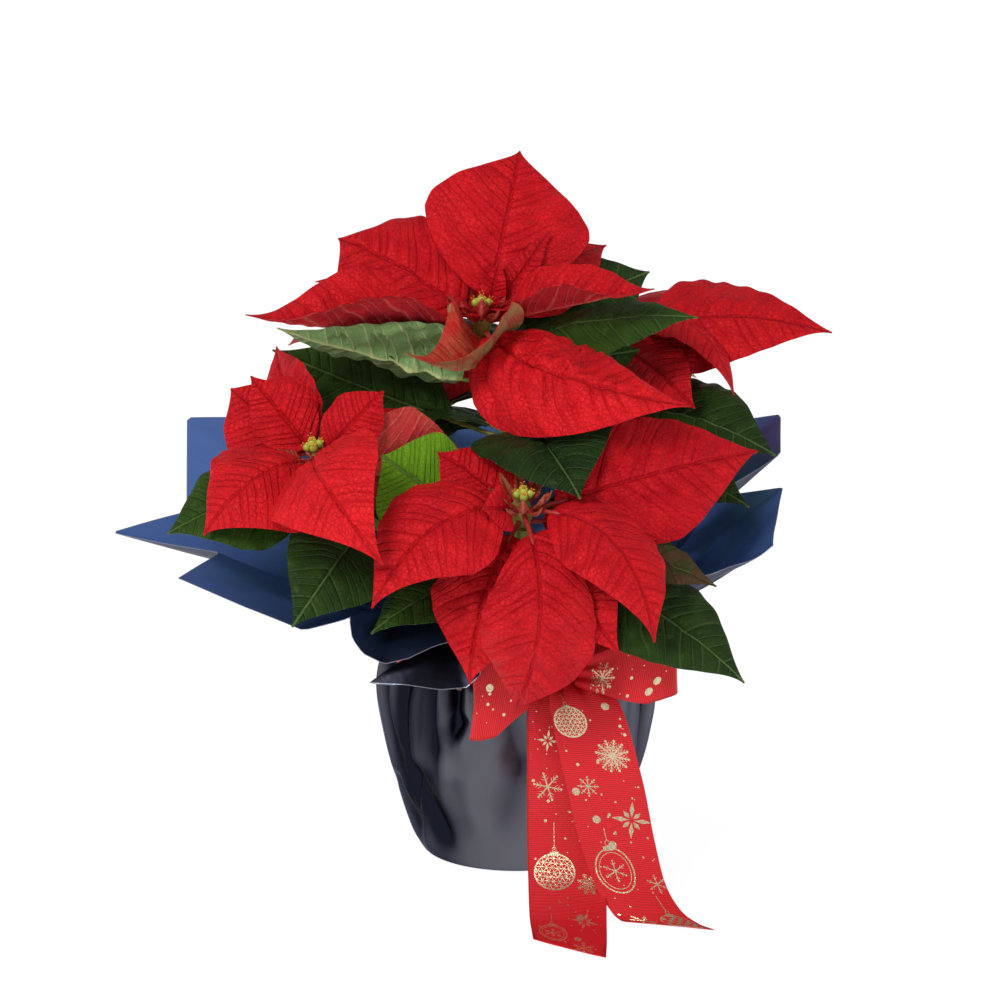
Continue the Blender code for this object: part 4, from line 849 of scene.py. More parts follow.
class Settler:  # keeps what is in place and finds a clear pose for each further blade
    def __init__(self):
        swings = [(p, y, r) for p in settling["pitches"] for y in settling["yaws"] for r in settling["rolls"]]
        self.swings = sorted(swings, key=lambda swing: (round(effortOf(swing), 3), swing))
        self.placed = []

    def add(self, node, points, faces, bladeFrom=0):
        own = [f for f in faces if min(f) >= bladeFrom]
        trees = treeOf(points, faces), treeOf(points, own)
        self.placed.append((node, *trees, points.min(0) - 1, points.max(0) + 1))

    def crossings(self, node, form):
        sheets = {}
        for part in (False, True):
            clear = settling["clearance"]
            sheets[part] = [coarseBlade(form, settling["grow"], by, part) for by in (-clear, 0.0, clear)]
        low = np.min([p.min(0) for p, _ in sheets[False]], 0)
        high = np.max([p.max(0) for p, _ in sheets[False]], 0)
        trees, found = {}, []
        for other, whole, own, lowest, highest in self.placed:
            if (low > highest).any() or (high < lowest).any():
                continue
            same = other == node
            for k, (points, faces) in enumerate(sheets[same]):
                if (same, k) not in trees:
                    trees[same, k] = treeOf(points, faces)
                if trees[same, k].overlap(own if same else whole):
                    found.append(same)
                    break
        return found

    def settle(self, node, form):
        best, least = None, math.inf
        for swing in self.swings:
            if effortOf(swing) >= least:
                break
            tried = swung(form, *swing)
            crossed = self.crossings(node, tried)
            prices = [settling["ownCost" if own else "otherCost"] for own in crossed]
            cost = effortOf(swing) + sum(prices)
            if cost < least:
                best, least = tried, cost
        points, faces = coarseBlade(best)
        self.add(node, points, faces, 2 * len(bladeSplit(best)[1]))
        return best


def roughTube(line, radius, sides=6):  # only for the crossing test
    rings = tubeRings(line, np.full(len(line), radius), sides)
    return rings.reshape(-1, 3), tubeFaces(len(line), sides)[0].tolist()


def headFrame(head):  # the hub's middle, the axis, and two directions square to it
    axis = unit(vec(branches[head]["axis"]))
    one = unit(np.cross(axis, vec((0.3, 1, 0))))
    return vec(branches[head]["hub"]), axis, one, np.cross(axis, one)


roughBud = {"rises": (0, 3.5, 7), "radius": 5.0}


def roughBuds(head):
    hub, axis, _, _ = headFrame(head)
    low = hub + axis * (plan["hubRadius"] + gap)
    return roughTube(np.array([low + axis * rise for rise in roughBud["rises"]]), roughBud["radius"])


def bractRoot(head, form):
    # Lower down the head for an outer bract, and on the side that it points to
    hub, axis, _, _ = headFrame(head)
    way = vec(form["tip"]) - hub
    out = way - (way @ axis) * axis
    return tuple(hub - axis * form["low"] + unit(out) * form["out"])


def sprout(head, turn, lean, length, seat, sunk, run, **more):
    # A narrow blade from the hub's side, at a turn round the head, leaning out from its axis
    hub, axis, one, two = headFrame(head)
    a, b = math.radians(turn), math.radians(lean)
    out = one * math.cos(a) + two * math.sin(a)
    root = hub + out * plan["hubRadius"] * seat - axis * sunk
    tip = root + out * run + (out * math.sin(b) + axis * math.cos(b)) * length
    return blade(tuple(tip), tuple(axis - out), root=tuple(root), wave=0, **more)


# Small narrow bracts round the buds: turn, lean and length, then what they share
bractlets = ((20, 38, 15), (140, 44, 13), (255, 34, 17))
bractletForm = dict(seat=0.75, sunk=0, run=3.5, width=6, arch=-0.12, fold=20, stalk=0.25, tone=0.5, odd=0.35)


def bractletForms(head):
    return [sprout(head, *bractlet, **bractletForm) for bractlet in bractlets]


def settlePlant():
    settler = Settler()
    film = filmPoints()
    rows, columns = film.shape[:2]
    collar = tubeFaces(rows, columns)[0][len(bagRings) * columns:]
    settler.add("film_wrap", film.reshape(-1, 3), collar.tolist())
    lines = {name: branchLine(branch) for name, branch in branches.items()}
    for line in lines.values():
        settler.add("stems_and_leaves", *roughTube(line, plan["stem"]))
    settler.add("ribbon", *roughBow())
    forms = {"stems_and_leaves": []}
    for head in bracts:
        forms["bracts_" + head] = bractletForms(head)
        for form in forms["bracts_" + head]:
            settler.add("bracts_" + head, *coarseBlade(form), 2 * len(bladeShape["smallColumns"]))
        settler.add("buds_" + head, *roughBuds(head))
    for head in ("front", "left", "top", "right", "back"):
        for form in bracts[head]:
            form = dict(form, root=bractRoot(head, form))
            forms["bracts_" + head].append(settler.settle("bracts_" + head, form))
    for form in leaves:
        line = lines[form["on"]]
        step = form["at"] * (len(line) - 1)
        k = int(step)
        root = line[k] * (1 - step + k) + line[k + 1] * (step - k)
        forms["stems_and_leaves"].append(settler.settle("stems_and_leaves", dict(form, root=tuple(root))))
    return forms


# Relief of a blade, in millimetres: spacing and number of points, then each kind of relief
relief = {
    "rowStep": 1.45, "backRowStep": 2.8, "leastRows": 12, "mostRows": 70,
    "columns": {"front": 13, "back": 8, "small": 6}, "crowded": 0.11,
    "thick": 0.42, "groove": 0.6, "grooveWidth": 1.2, "rib": 0.75, "ribWidth": 0.9, "petiole": 1.15,
    "quilt": 1.05, "quiltFrom": 3, "quiltFull": 16, "veinsEach": 12.5, "veinSpacing": (3.0, 8.5),
    "veinSlope": 0.5, "veinBend": 0.009, "veinShift": 0.35, "uneven": (0.24, 2.1, 0.1, 21),
    "pucker": 0.26, "puckerWaves": (26, 17, 12, 8.5, 6.5, 5.2), "flutter": 0.7, "flutterWave": 12.5,
}


def fineBlade(parts, form, red):
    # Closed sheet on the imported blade's surface. The relief is a groove at the midrib, a swell between
    # side veins that fades to the edge, and a pucker of crossed waves. The lower side has a raised rib.
    length = np.linalg.norm(vec(form["tip"]) - vec(form["root"]))
    stalk, kind = form["stalk"], kindOf(form)
    size = length * (1 - stalk)
    rowStep = relief["backRowStep" if isHidden(form) else "rowStep"]
    rows = int(np.clip(size / rowStep, relief["leastRows"], relief["mostRows"]))
    step = np.linspace(0, 1, rows)
    along = 0.65 * step + 0.35 * (1 - np.cos(np.pi * step)) / 2
    n = relief["columns"][kind]
    k = np.arange(-n, n + 1) / n
    column = k - relief["crowded"] * np.sin(2 * np.pi * k)
    u, v = pairs(stalk + (1 - stalk) * along, column)
    middle, up, across = bladeFrame(form, u)
    t, shape, half, flat, high, slope = bladeSection(form, u, v)
    sign, out = np.sign(v), np.abs(v)
    x, y = sign * half * out, t * size
    # Side veins are counted along the blade, and a little unevenly
    spacing = np.clip(size / relief["veinsEach"], *relief["veinSpacing"])
    count = (y - relief["veinSlope"] * np.abs(x) - relief["veinBend"] * x ** 2) / spacing
    count = count + np.where(v > 0, relief["veinShift"], 0.0) + chance.random()
    phases, turns = chance.random(6) * 2 * np.pi, chance.random(6) * np.pi
    near, often, far, wave = relief["uneven"]
    count = count + near * np.sin(often * count + phases[2]) + far * np.sin(2 * np.pi * y / wave + phases[3])
    pucker = sum(
        w / 14 * np.sin(2 * np.pi / w * (x * math.cos(a) + y * math.sin(a)) + p)
        for w, a, p in zip(relief["puckerWaves"], turns, phases)) * relief["pucker"] * form["pucker"]
    inner = np.clip(np.abs(x) / relief["quiltFrom"], 0, 1) * (1 - out ** 3)
    ridge = np.abs(np.sin(np.pi * count)) ** 0.9
    swell = relief["quilt"] * form["pucker"] * ridge * inner * np.clip(half / relief["quiltFull"], 0, 1)
    groove = relief["groove"] * np.exp(-(x / relief["grooveWidth"]) ** 2) * (1 - 0.7 * t)
    flutter = np.sin(2 * np.pi * y / relief["flutterWave"] + phases[0] + 1.7 * (v > 0))
    flutter = relief["flutter"] * out ** 4 * shape * flutter
    lifted = swell + pucker * shape * (1 - 0.5 * out ** 4) - groove + flutter
    rib = relief["rib"] * np.exp(-(x / relief["ribWidth"]) ** 2) * (1 - 0.75 * t) * np.clip(half / 5, 0.3, 1)
    thick = relief["thick"] * (1 - 0.5 * out ** 6)
    normal = across * (-np.sin(slope) * sign)[:, None] + up * np.cos(slope)[:, None]
    surface = middle + across * (sign * flat)[:, None] + up * high[:, None]
    top = surface + normal * (lifted + thick / 2)[:, None]
    low = surface + normal * (lifted - thick / 2 - rib)[:, None]
    place = np.stack([x, y, count], 1)
    above = np.zeros((len(u), 3)) + (0, form["tone"], form["odd"] * form["oddAbove"])
    below = np.zeros((len(u), 3)) + (1, form["tone"], form["odd"])
    grids = [points.reshape(rows, -1, 3) for points in (top, low)]
    parts.sheet(*grids, bladePlace=(place, place), bladeLook=(above, below))
    addPetiole(parts, form, stalk, 0.55 if kind == "small" else 1.0, red)


def addPetiole(parts, form, stalk, scale, red):
    # Round stalk from the stem to a little way under the blade, thickest where it joins the stem
    u = np.linspace(0, stalk + 0.05, 12)
    middle, up, _ = bladeFrame(form, u)
    t = u / u[-1]
    sunk = np.clip((u - stalk * 0.8) / 0.05, 0, 1) * 0.5
    radii = relief["petiole"] * scale * (1.25 - 0.4 * t) * np.where(t > 0.98, 0.55, 1)
    addTube(parts, middle - up * sunk[:, None], radii, 10, 1, bladePlace=(0, 0, 0), bladeLook=(0, 0.5, red))


# Narrow bractlets round the buds: how many, their length, width and lean, and the share of the odd
# colour, then wider ones by where their tips are from the head and how wide they are
tufts = {
    "top": {"count": 9, "length": 17, "width": 6.5, "lean": 34, "odd": 0.1,
            "wide": (((-17, -7, 7), 15), ((-13, -17, 2), 13), ((15, -15, 6), 13))},
    "left": {"count": 8, "length": 15, "width": 4.2, "lean": 40, "odd": 0.25},
    "front": {"count": 9, "length": 15, "width": 3.4, "lean": 30, "odd": 0.6},
    "right": {"count": 6, "length": 13, "width": 4.0, "lean": 38, "odd": 0.2},
    "back": {"count": 6, "length": 13, "width": 4.0, "lean": 38, "odd": 0.2},
}


tuftForm = dict(seat=0.8, sunk=0.5, run=2.5, arch=-0.1, fold=18, stalk=0.2, tone=0.4)
wideForm = dict(arch=0.08, fold=14, stalk=0.12, wave=0.3, tone=0.35)


def tuftForms(head):
    # Turned on by the golden angle from one to the next, with lean, length and colour that vary
    hub, axis, _, _ = headFrame(head)
    tuft = tufts[head]
    forms = []
    for k in range(tuft["count"]):
        lean, length = tuft["lean"] + 9 * (k % 3) - 6, tuft["length"] * (0.8 + 0.1 * (k % 4))
        odd = tuft["odd"] * (0.6 + 0.2 * (k % 3))
        forms.append(sprout(head, 55 + 137.5 * k, lean, length, width=tuft["width"], odd=odd, **tuftForm))
    for reach, width in tuft.get("wide", ()):
        root = tuple(hub + unit(vec(reach)) * plan["hubRadius"] * 0.6)
        forms.append(blade(tuple(hub + vec(reach)), tuple(axis), width, root=root, **wideForm))
    return forms


def makeBracts(forms, red, green):
    for head in branches:
        parts = Parts("bladePlace", "bladeLook")
        for form in forms["bracts_" + head] + tuftForms(head):
            fineBlade(parts, form, 1.0)
        hub, axis, _, _ = headFrame(head)
        rise = np.linspace(-1, 1, 9)
        radii = plan["hubRadius"] * np.sqrt(np.clip(1 - rise ** 2, 0.01, 1))
        centre = hub - axis * plan["hubDrop"] / 2
        reach = plan["hubRadius"] + plan["hubDrop"] / 2
        line = centre + axis * (rise * reach)[:, None]
        addTube(parts, line, radii, 16, 1, bladePlace=(0, 0, 0), bladeLook=(0, 0.5, 0.25))
        parts.piece("bracts_" + head + "_fine", [red, green], "bract", "bracts_" + head)


stemShape = {"sides": 18, "steps": 60, "nodes": 4, "swell": 0.45, "redStalk": 0.2, "redStem": 0.05}


def makeLeaves(forms, finish, green):
    # Every leaf, with the trunk and the branches, which swell a little where leaves left them
    parts = Parts("bladePlace", "bladeLook")
    for form in forms["stems_and_leaves"]:
        fineBlade(parts, form, stemShape["redStalk"])
    for branch in branches.values():
        line = branchLine(branch, stemShape["steps"])
        t = np.linspace(0, 1, stemShape["steps"])
        swell = stemShape["swell"] * np.cos(np.pi * stemShape["nodes"] * t) ** 8
        look, radii = (0, 0.5, stemShape["redStem"]), plan["stem"] + swell
        addTube(parts, line, radii, stemShape["sides"], 1, bladePlace=(0, 0, 0), bladeLook=look)
    t = np.linspace(0, 1, 40)
    line = np.stack([0 * t, 0 * t, plan["trunkRoot"] + t * (plan["trunkTop"] - plan["trunkRoot"])], 1)
    radii = plan["trunk"] + 0.25 * np.cos(9 * np.pi * t) ** 6 - 0.4 * t
    look = np.stack([np.clip(1.2 - 1.6 * t, 0, 1), 0 * t + 0.5, 0 * t], 1)
    look = np.concatenate([np.repeat(look, stemShape["sides"], 0), look[:1], look[-1:]])
    addTube(parts, line, radii, stemShape["sides"], 1, bladePlace=(0, 0, 0), bladeLook=look)
    parts.piece("stems_and_leaves_fine", [finish, green], "leaf", "stems_and_leaves")


# Flower buds: a middle cup and a ring round it, each with a gland and a tuft of stamens
budPlan = {
    "ring": 4, "radius": 2.3, "out": 2.8, "stamens": 7, "ringStamens": 5,
    "rings": 12, "sides": 14, "ballRings": 7, "ballSides": 10, "stamen": 0.13, "anther": 0.26,
}


def addTurned(parts, profile, sides, place, axis, look, squeeze=1.0):
    # A profile of radius and height turned about an axis through place, with a point at each end
    one = unit(np.cross(axis, vec((0.31, 0.9, 0.17))))
    two = np.cross(axis, one)
    a = np.linspace(0, 2 * np.pi, sides, endpoint=False)
    ring = np.cos(a)[:, None] * one + squeeze * np.sin(a)[:, None] * two
    radius, height = profile[:, 0], profile[:, 1]
    points = place + radius[:, None, None] * ring[None] + (height[:, None] * axis)[:, None, :]
    tops = place + np.stack([height[0] * axis, height[-1] * axis])
    wall, ends = tubeFaces(len(profile), sides)
    parts.add(np.concatenate([points.reshape(-1, 3), tops]), wall, 0, ends, budLook=look)


def addCup(parts, place, axis, radius, stamens):
    # Egg-shaped green cup with a puckered mouth, a yellow lip on its side and stamens out of the mouth
    rings, sides = budPlan["rings"], budPlan["sides"]
    t = np.linspace(0, 1, rings)
    girth = radius * np.sin(np.pi * (0.06 + 0.8 * t)) ** 0.8 * (1 - 0.12 * (t > 0.9))
    profile = np.stack([girth, radius * (2.7 * t - 1.3)], 1)
    look = np.concatenate([np.repeat(t, sides), [0, 1]])
    addTurned(parts, profile, sides, place, axis, np.stack([0 * look, look, 0 * look], 1))
    side = unit(np.cross(axis, vec((0.5, -0.7, 0.2))))
    rings, sides = budPlan["ballRings"], budPlan["ballSides"]
    turn = np.pi * np.linspace(0.03, 0.97, rings)
    ball = np.stack([np.sin(turn), -np.cos(turn)], 1)
    lip = place + side * radius * 0.86 + axis * radius * 0.75
    addTurned(parts, ball * radius * 0.42, sides, lip, unit(side + axis), (1, 0.5, 0), 1.5)
    for k in range(stamens):
        lean = unit(axis + 0.5 * np.cos(2.4 * k) * side + 0.5 * np.sin(2.4 * k) * np.cross(axis, side))
        start = place + axis * radius * 1.1
        tip = start + lean * radius * (0.7 + 0.35 * (k % 3))
        stalk = [budPlan["stamen"]] * 4
        addTube(parts, np.linspace(start, tip, 4), stalk, 6, budLook=(2 if k % 3 else 1, 0.5, 0))
        addTurned(parts, ball * budPlan["anther"], sides, tip, lean, (2 if k % 2 else 1, 0.5, 0))


def makeBuds(finish):
    for head in branches:
        hub, axis, one, two = headFrame(head)
        seat = hub + axis * (plan["hubRadius"] + gap)
        parts = Parts("budLook")
        r = budPlan["radius"]
        addCup(parts, seat + axis * r * 1.3, axis, r * 0.95, budPlan["stamens"])
        for k in range(budPlan["ring"]):
            a = 2 * math.pi * k / budPlan["ring"] + 0.4
            out = one * math.cos(a) + two * math.sin(a)
            place = seat + out * budPlan["out"] + axis * (r * 0.95 + 0.5 * (k % 2))
            addCup(parts, place, unit(axis + 0.5 * out), r * 0.86, budPlan["ringStamens"] + k % 2)
        parts.piece("buds_" + head + "_fine", [finish], "bud", "buds_" + head)


# Film: one sheet gathered up round the pot, tied, and flared out above the tie
filmPlan = {
    "neck": 66.0, "neckLow": 104.0, "neckHigh": 118.0, "collarRun": 12.0, "creaseReach": 26.0, "thick": 0.3,
    "columns": 480, "bagRows": 84, "collarRows": 40, "gathers": 27, "gatherDepth": 1.1, "roundMm": 66.0,
    "foldEnds": (0.12, 0.22, 0.5), "shoulder": (0.3, 1.8, 0.8), "rounding": 11,
    "drawn": (74, 34), "tied": (100, 5),  # heights from which the film is gathered, and over how much
    "sway": ((1.6, 9, 5, 0), (1.1, 14, -7, 1), (0.6, 23, 9, 0)),  # size, waves round, twist and shift
}
bagRings = ((10, 0), (43, 0), (48.5, 3), (57.5, 26), (65.5, 52), (70, 80), (69, 97))
bagColumns = 49
collarSteps = 4
# Creases in the bag: bearing, half width, depth, and the height of the deepest place
creases = ((238, 7, 3.2, 60), (226, 6, 2.6, 74), (214, 8, 2.4, 40), (196, 9, 2, 66), (252, 10, 2.2, 30),
           (290, 11, 1.8, 54), (325, 10, 2.2, 62), (10, 10, 2.2, 48), (52, 9, 2.4, 66), (96, 10, 2.2, 52),
           (140, 9, 2.6, 64), (170, 8, 2.2, 46))

# Free edge of the film: bearing at the tie, the edge's place, how high it lifts before it flares
filmEdge = (
    (276, (6, -80, 133), 12), (269, (-24, -76, 111), 6), (264, (-44, -88, 109), 6),
    (260, (-60, -93, 108), 6), (256.5, (-70, -99, 111), 24), (252, (-53.5, -101, 111), 26),
    (247, (-36.5, -101, 108.5), 28), (243, (-24, -100, 109.5), 29), (240, (-18, -99, 115), 30),
    (237, (-17, -98, 123), 31), (234, (-20, -98, 129.5), 32), (231.5, (-28, -99, 132.5), 34),
    (229, (-39, -100, 129.5), 35), (226.5, (-51.5, -101, 123.5), 36), (224, (-63, -102, 121), 34),
    (221, (-73, -102, 126.5), 30), (218.5, (-77.5, -102, 134), 24), (216, (-78.5, -101, 145), 18),
    (211, (-101, -108, 140), 12), (204, (-128, -112, 151), 12),
    (198, (-160, -110, 164), 12), (190, (-144, -52, 164), 10), (182, (-201, -10, 166), 10),
    (172, (-168, 34, 166), 12), (164, (-172, 90, 204), 20), (150, (-118, 104, 202), 26),
    (138, (-84, 150, 214), 22), (118, (-38, 122, 186), 22), (102, (-4, 162, 206), 20),
    (80, (34, 122, 186), 22), (62, (78, 148, 212), 22), (48, (98, 106, 196), 24),
    (38, (138, 70, 209), 20), (32, (136, 50, 193), 16), (21, (98, 22, 176), 14), (10, (133, 0, 186), 14),
    (0, (129, -28, 177), 12), (348, (125, -55, 168), 12), (325, (94, -74, 158), 12),
    (305, (60, -78, 150), 12), (288, (34, -77, 137), 12),
)


def around(bearing, radius, height):  # a place at a bearing, in degrees anticlockwise from +X
    a = np.radians(bearing)
    return np.stack(np.broadcast_arrays(radius * np.cos(a), radius * np.sin(a), height), -1)


def offBearing(bearing, at):  # degrees from one bearing to another, -180 to 180
    return (bearing - at + 180) % 360 - 180


def creaseDepth(bearing, height):
    depth = 0.0
    for at, half, deep, middle in creases:
        off = offBearing(bearing, at)
        up = (height - middle) / filmPlan["creaseReach"]
        depth = depth + deep * np.exp(-(off / half) ** 2 - up ** 2)
    return depth


def filmBearings():  # every corner of the free edge, and even steps between
    corners = sorted(row[0] for row in filmEdge)
    gaps = [(b - a, a) for a, b in zip(corners, corners[1:] + [corners[0] + 360])]
    cuts = {a: 1 for _, a in gaps}
    for _ in range(bagColumns - len(corners)):
        _, a = max(((g / cuts[a], a) for g, a in gaps))
        cuts[a] += 1
    return np.array(sorted(((a + g * k / cuts[a]) % 360) for g, a in gaps for k in range(cuts[a])))


def edgeAt(bearings):
    # Free edge's place and lift at each bearing, straight from corner to corner of the table
    table = sorted(filmEdge)
    at = [row[0] for row in table]
    numbers = [[row[1][k] for row in table] for k in range(3)] + [[row[2] for row in table]]
    found = [np.interp(bearings, at, values, period=360) for values in numbers]
    return np.stack(found[:3], -1), found[3]


def filmPoints():
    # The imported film's outer surface: the bag's rings, the tie, then a quadratic sweep to the free edge
    bearings = filmBearings()
    rows = [around(bearings, r - creaseDepth(bearings, h) * (h > 3), h) for r, h in bagRings]
    rows += [around(bearings, filmPlan["neck"], h) for h in (filmPlan["neckLow"], filmPlan["neckHigh"])]
    edge, lift = edgeAt(bearings)
    start = around(bearings, filmPlan["neck"], filmPlan["neckHigh"])
    knee = start + around(bearings, filmPlan["collarRun"], lift) + (edge - start) * 0.2
    for step in range(1, collarSteps + 1):
        t = step / collarSteps
        rows.append((1 - t) ** 2 * start + 2 * t * (1 - t) * knee + t * t * edge)
    return np.array(rows)


# Painted shade on the film: darkened on the hollow side of the bag and on the roll, by bearing, and deep in
# the collar
paintedShadePlaces = {"hollow": 214, "hollowHalf": 26, "hollowShare": 0.72, "fold": 0.2,
              "roll": 238, "rollHalf": 24, "rollShare": 0.93, "deep": 0.75}
# Folds in the bag: bearing and height of both ends, width in millimetres, depth, and how sharp
folds = (
    (246, 112, 240, 62, 5, 4.6, 1.2), (240, 112, 246, 74, 4, 3.4, 1.2), (234, 112, 230, 40, 5, 4.4, 1.2),
    (228, 112, 222, 52, 4, 3.0, 1.3), (250, 84, 238, 70, 4, 3.2, 1.3), (219, 112, 206, 14, 6, 4.6, 1.3),
    (214, 50, 233, 8, 12, 6.0, 1.5), (240, 50, 246, 16, 7, 2.4, 1.5), (262, 112, 274, 52, 7, 2.6, 1.4),
    (274, 66, 262, 20, 9, 2.4, 1.6), (286, 112, 280, 78, 5, 2.8, 1.3), (306, 112, 318, 40, 6, 3.8, 1.3),
    (318, 112, 306, 64, 5, 3.0, 1.3), (312, 52, 330, 12, 9, 4.4, 1.6), (334, 112, 346, 30, 6, 4.2, 1.3),
    (352, 112, 340, 66, 5, 3.0, 1.3), (8, 112, 18, 24, 6, 4.4, 1.3), (26, 112, 14, 60, 5, 3.2, 1.3),
    (30, 44, 12, 12, 10, 4.6, 1.6), (46, 112, 56, 18, 6, 4.2, 1.3), (68, 112, 52, 58, 5, 3.4, 1.3),
    (84, 112, 92, 26, 6, 4.4, 1.3), (80, 48, 98, 12, 11, 4.8, 1.6), (106, 112, 96, 62, 5, 3.2, 1.3),
    (122, 112, 132, 20, 6, 4.4, 1.3), (144, 112, 130, 56, 5, 3.4, 1.3), (150, 46, 134, 12, 10, 4.6, 1.6),
    (162, 112, 170, 28, 6, 4.2, 1.3), (184, 112, 172, 64, 5, 3.2, 1.3), (198, 112, 204, 22, 6, 4.4, 1.3),
    (190, 40, 206, 10, 9, 4.2, 1.6),
)


def foldDepth(bearing, height):
    # Each fold is a valley along a slanted line, as deep as its middle, with a low shoulder on both sides
    depth = 0.0
    reachRound = filmPlan["roundMm"]  # millimetres round the bag for each radian
    before, opening, closing = filmPlan["foldEnds"]
    high, away, broad = filmPlan["shoulder"]
    for b0, h0, b1, h1, width, deep, sharp in folds:
        ahead = vec((np.radians(b1 - b0) * reachRound, h1 - h0))
        length = np.linalg.norm(ahead)
        ahead = ahead / length
        x = np.radians(offBearing(bearing, b0)) * reachRound
        y = height - h0
        along = (x * ahead[0] + y * ahead[1]) / length
        off = np.abs(x * ahead[1] - y * ahead[0]) / width
        reach = np.clip((along + before) / opening, 0, 1) * np.clip((1 + before - along) / closing, 0, 1)
        reach = reach ** 2 * (3 - 2 * reach)
        shoulder = high * np.exp(-((off - away) / broad) ** 2)
        depth = depth + deep * reach * (np.exp(-off ** sharp) - shoulder)
    return depth


def gatherDepth(bearing):  # uneven folds where the tie draws the film in, always inwards
    a = np.radians(bearing)
    n = filmPlan["gathers"]
    fold = np.sin(n * a + 1.3 * np.sin(3 * a)) + 0.5 * np.sin((n * 2 - 7) * a + 0.8)
    return filmPlan["gatherDepth"] * (0.75 + 0.5 * fold)


def filmShade(bearings, height, s):
    # Painted shade on the film: darker in the folds, on the hollow side of the bag, on the roll left of the
    # bow and deep in the collar
    off = offBearing(bearings, paintedShadePlaces["hollow"])
    hollow = paintedShadePlaces["hollowShare"] * np.exp(-(off / paintedShadePlaces["hollowHalf"]) ** 2)
    bag = np.clip(foldDepth(bearings, height) * paintedShadePlaces["fold"] + hollow, 0, 1)
    off = offBearing(bearings, paintedShadePlaces["roll"])
    roll = paintedShadePlaces["rollShare"] * np.clip(1.6 - np.abs(off) / paintedShadePlaces["rollHalf"], 0, 1)
    out = s[-filmPlan["collarRows"]:]
    collar = np.maximum(roll * np.clip(out * 6, 0, 1), paintedShadePlaces["deep"] * (1 - out) ** 1.5)
    return np.concatenate([np.broadcast_to(bag, (len(height), len(bearings))), collar])


def fineFilm():
    # The bag: a smooth profile through the rings, less creases, pleats and gathers. The collar: the
    # packed film's sweep, with the knee taken from a rounded edge, so the folds soften towards the tie.
    bearings = np.linspace(0, 360, filmPlan["columns"], endpoint=False)
    rings = list(bagRings) + [(filmPlan["neck"], filmPlan[key]) for key in ("neckLow", "neckHigh")]
    base = np.array([(2 + (rings[1][0] - 2) * k / 6, 0.0) for k in range(6)])
    wall = smoothLine([(r, h, 0) for r, h in rings[1:]], filmPlan["bagRows"])[:, :2]
    profile = np.concatenate([base, wall])
    radius, height = profile[:, :1], np.clip(profile[:, 1:], 0, None)
    spans = filmPlan["drawn"], filmPlan["tied"]
    drawn, tied = (np.clip((height - low) / over, 0, 1) for low, over in spans)
    inwards = (0.8 * creaseDepth(bearings, height) + foldDepth(bearings, height)) * np.clip(height / 8, 0, 1)
    inwards = inwards * (1 - tied) + gatherDepth(bearings) * drawn ** 2
    bag = around(bearings, np.maximum(radius - inwards, np.minimum(radius, 40)), height)
    edge, lift = edgeAt(bearings)
    kernel = np.hanning(filmPlan["rounding"])
    reach = len(kernel) // 2
    kernel = kernel / kernel.sum()
    wrapped = np.concatenate([edge[-reach:], edge, edge[:reach]])
    rounded = np.stack([np.convolve(wrapped[:, k], kernel, "valid") for k in range(3)], 1)
    start = bag[-1]
    tie = around(bearings, filmPlan["neck"], filmPlan["neckHigh"])
    knee = tie + around(bearings, filmPlan["collarRun"], lift) + (rounded - tie) * 0.2
    t = np.linspace(0, 1, filmPlan["collarRows"] + 1)[1:, None, None]
    collar = (1 - t) ** 2 * start + 2 * t * (1 - t) * knee + t * t * (rounded + (edge - rounded) * t ** 2)
    grid = np.concatenate([bag, collar])
    normal = gridNormals(grid, True)
    s = np.concatenate([np.zeros(len(bag)), t.ravel()])[:, None]
    a = np.radians(bearings)
    sway = sum(size * np.sin(waves * a + twist * s + shift) for size, waves, twist, shift in filmPlan["sway"])
    gathered = -gatherDepth(bearings) * np.exp(-s * 5) * (s > 0)
    ripple = sway * np.clip(s * 2, 0, 1) * (1 - 0.5 * s) + gathered * 0.6
    return grid + normal * ripple[..., None], filmShade(bearings, height, s)


def makeFilm(finish):
    grid, shade = fineFilm()
    normal = gridNormals(grid, True)
    inner = grid - normal * filmPlan["thick"]
    rows, columns = grid.shape[:2]
    high = np.repeat(np.linspace(0, 1, rows), columns)
    look = np.stack([0 * high, high, shade.ravel()], 1)
    points = np.concatenate([grid.reshape(-1, 3), inner.reshape(-1, 3)])
    faces = sheetFaces(rows, columns, True)
    faces = np.concatenate([faces[:-2 * columns], faces[-columns:]])
    middle = np.array([[0, 0, 0], [0, 0, filmPlan["thick"]]])
    ring, count = np.arange(columns), len(points)
    fans = np.concatenate([fan(ring, count, True), fan(ring + rows * columns, count + 1)])
    parts = Parts("filmLook")
    looks = np.concatenate([look, look + (1, 0, 0), [[0, 0, 0], [1, 0, 0]]])
    parts.add(np.concatenate([points, middle]), faces, 0, fans, filmLook=looks)
    return parts.piece("film_wrap_fine", [finish], "film", "film_wrap")


# Ribbon: a band round the tie, a knot, two loops and two tails
# Ribbon tails: the left edge and the right edge, from the knot to the cut end on the floor
tails = {
    "left_tail": (
        ((15, -75, 106), (6, -82, 96), (5, -88, 64), (5, -96, 38), (5.5, -108, 17), (6, -126, 4.5),
         (7, -140, 1.1), (7.5, -149, 0.5)),
        ((30, -75, 106), (42, -82, 94), (43, -89, 64), (43, -97, 38), (43, -110, 17), (42.5, -132, 4.5),
         (42, -154, 1.1), (41, -175, 0.5)),
    ),
    "right_tail": (
        ((17, -78, 107), (16, -89, 97), (23, -96, 62), (31, -107, 32), (38, -116, 15), (45, -122, 5),
         (48.5, -124, 1.8), (51, -125, 0.9)),
        ((35, -78, 107), (49, -88, 99), (60, -95, 64), (66, -104, 35), (71, -113, 16), (78, -123, 6),
         (86, -131, 2), (93, -137, 0.9)),
    ),
}
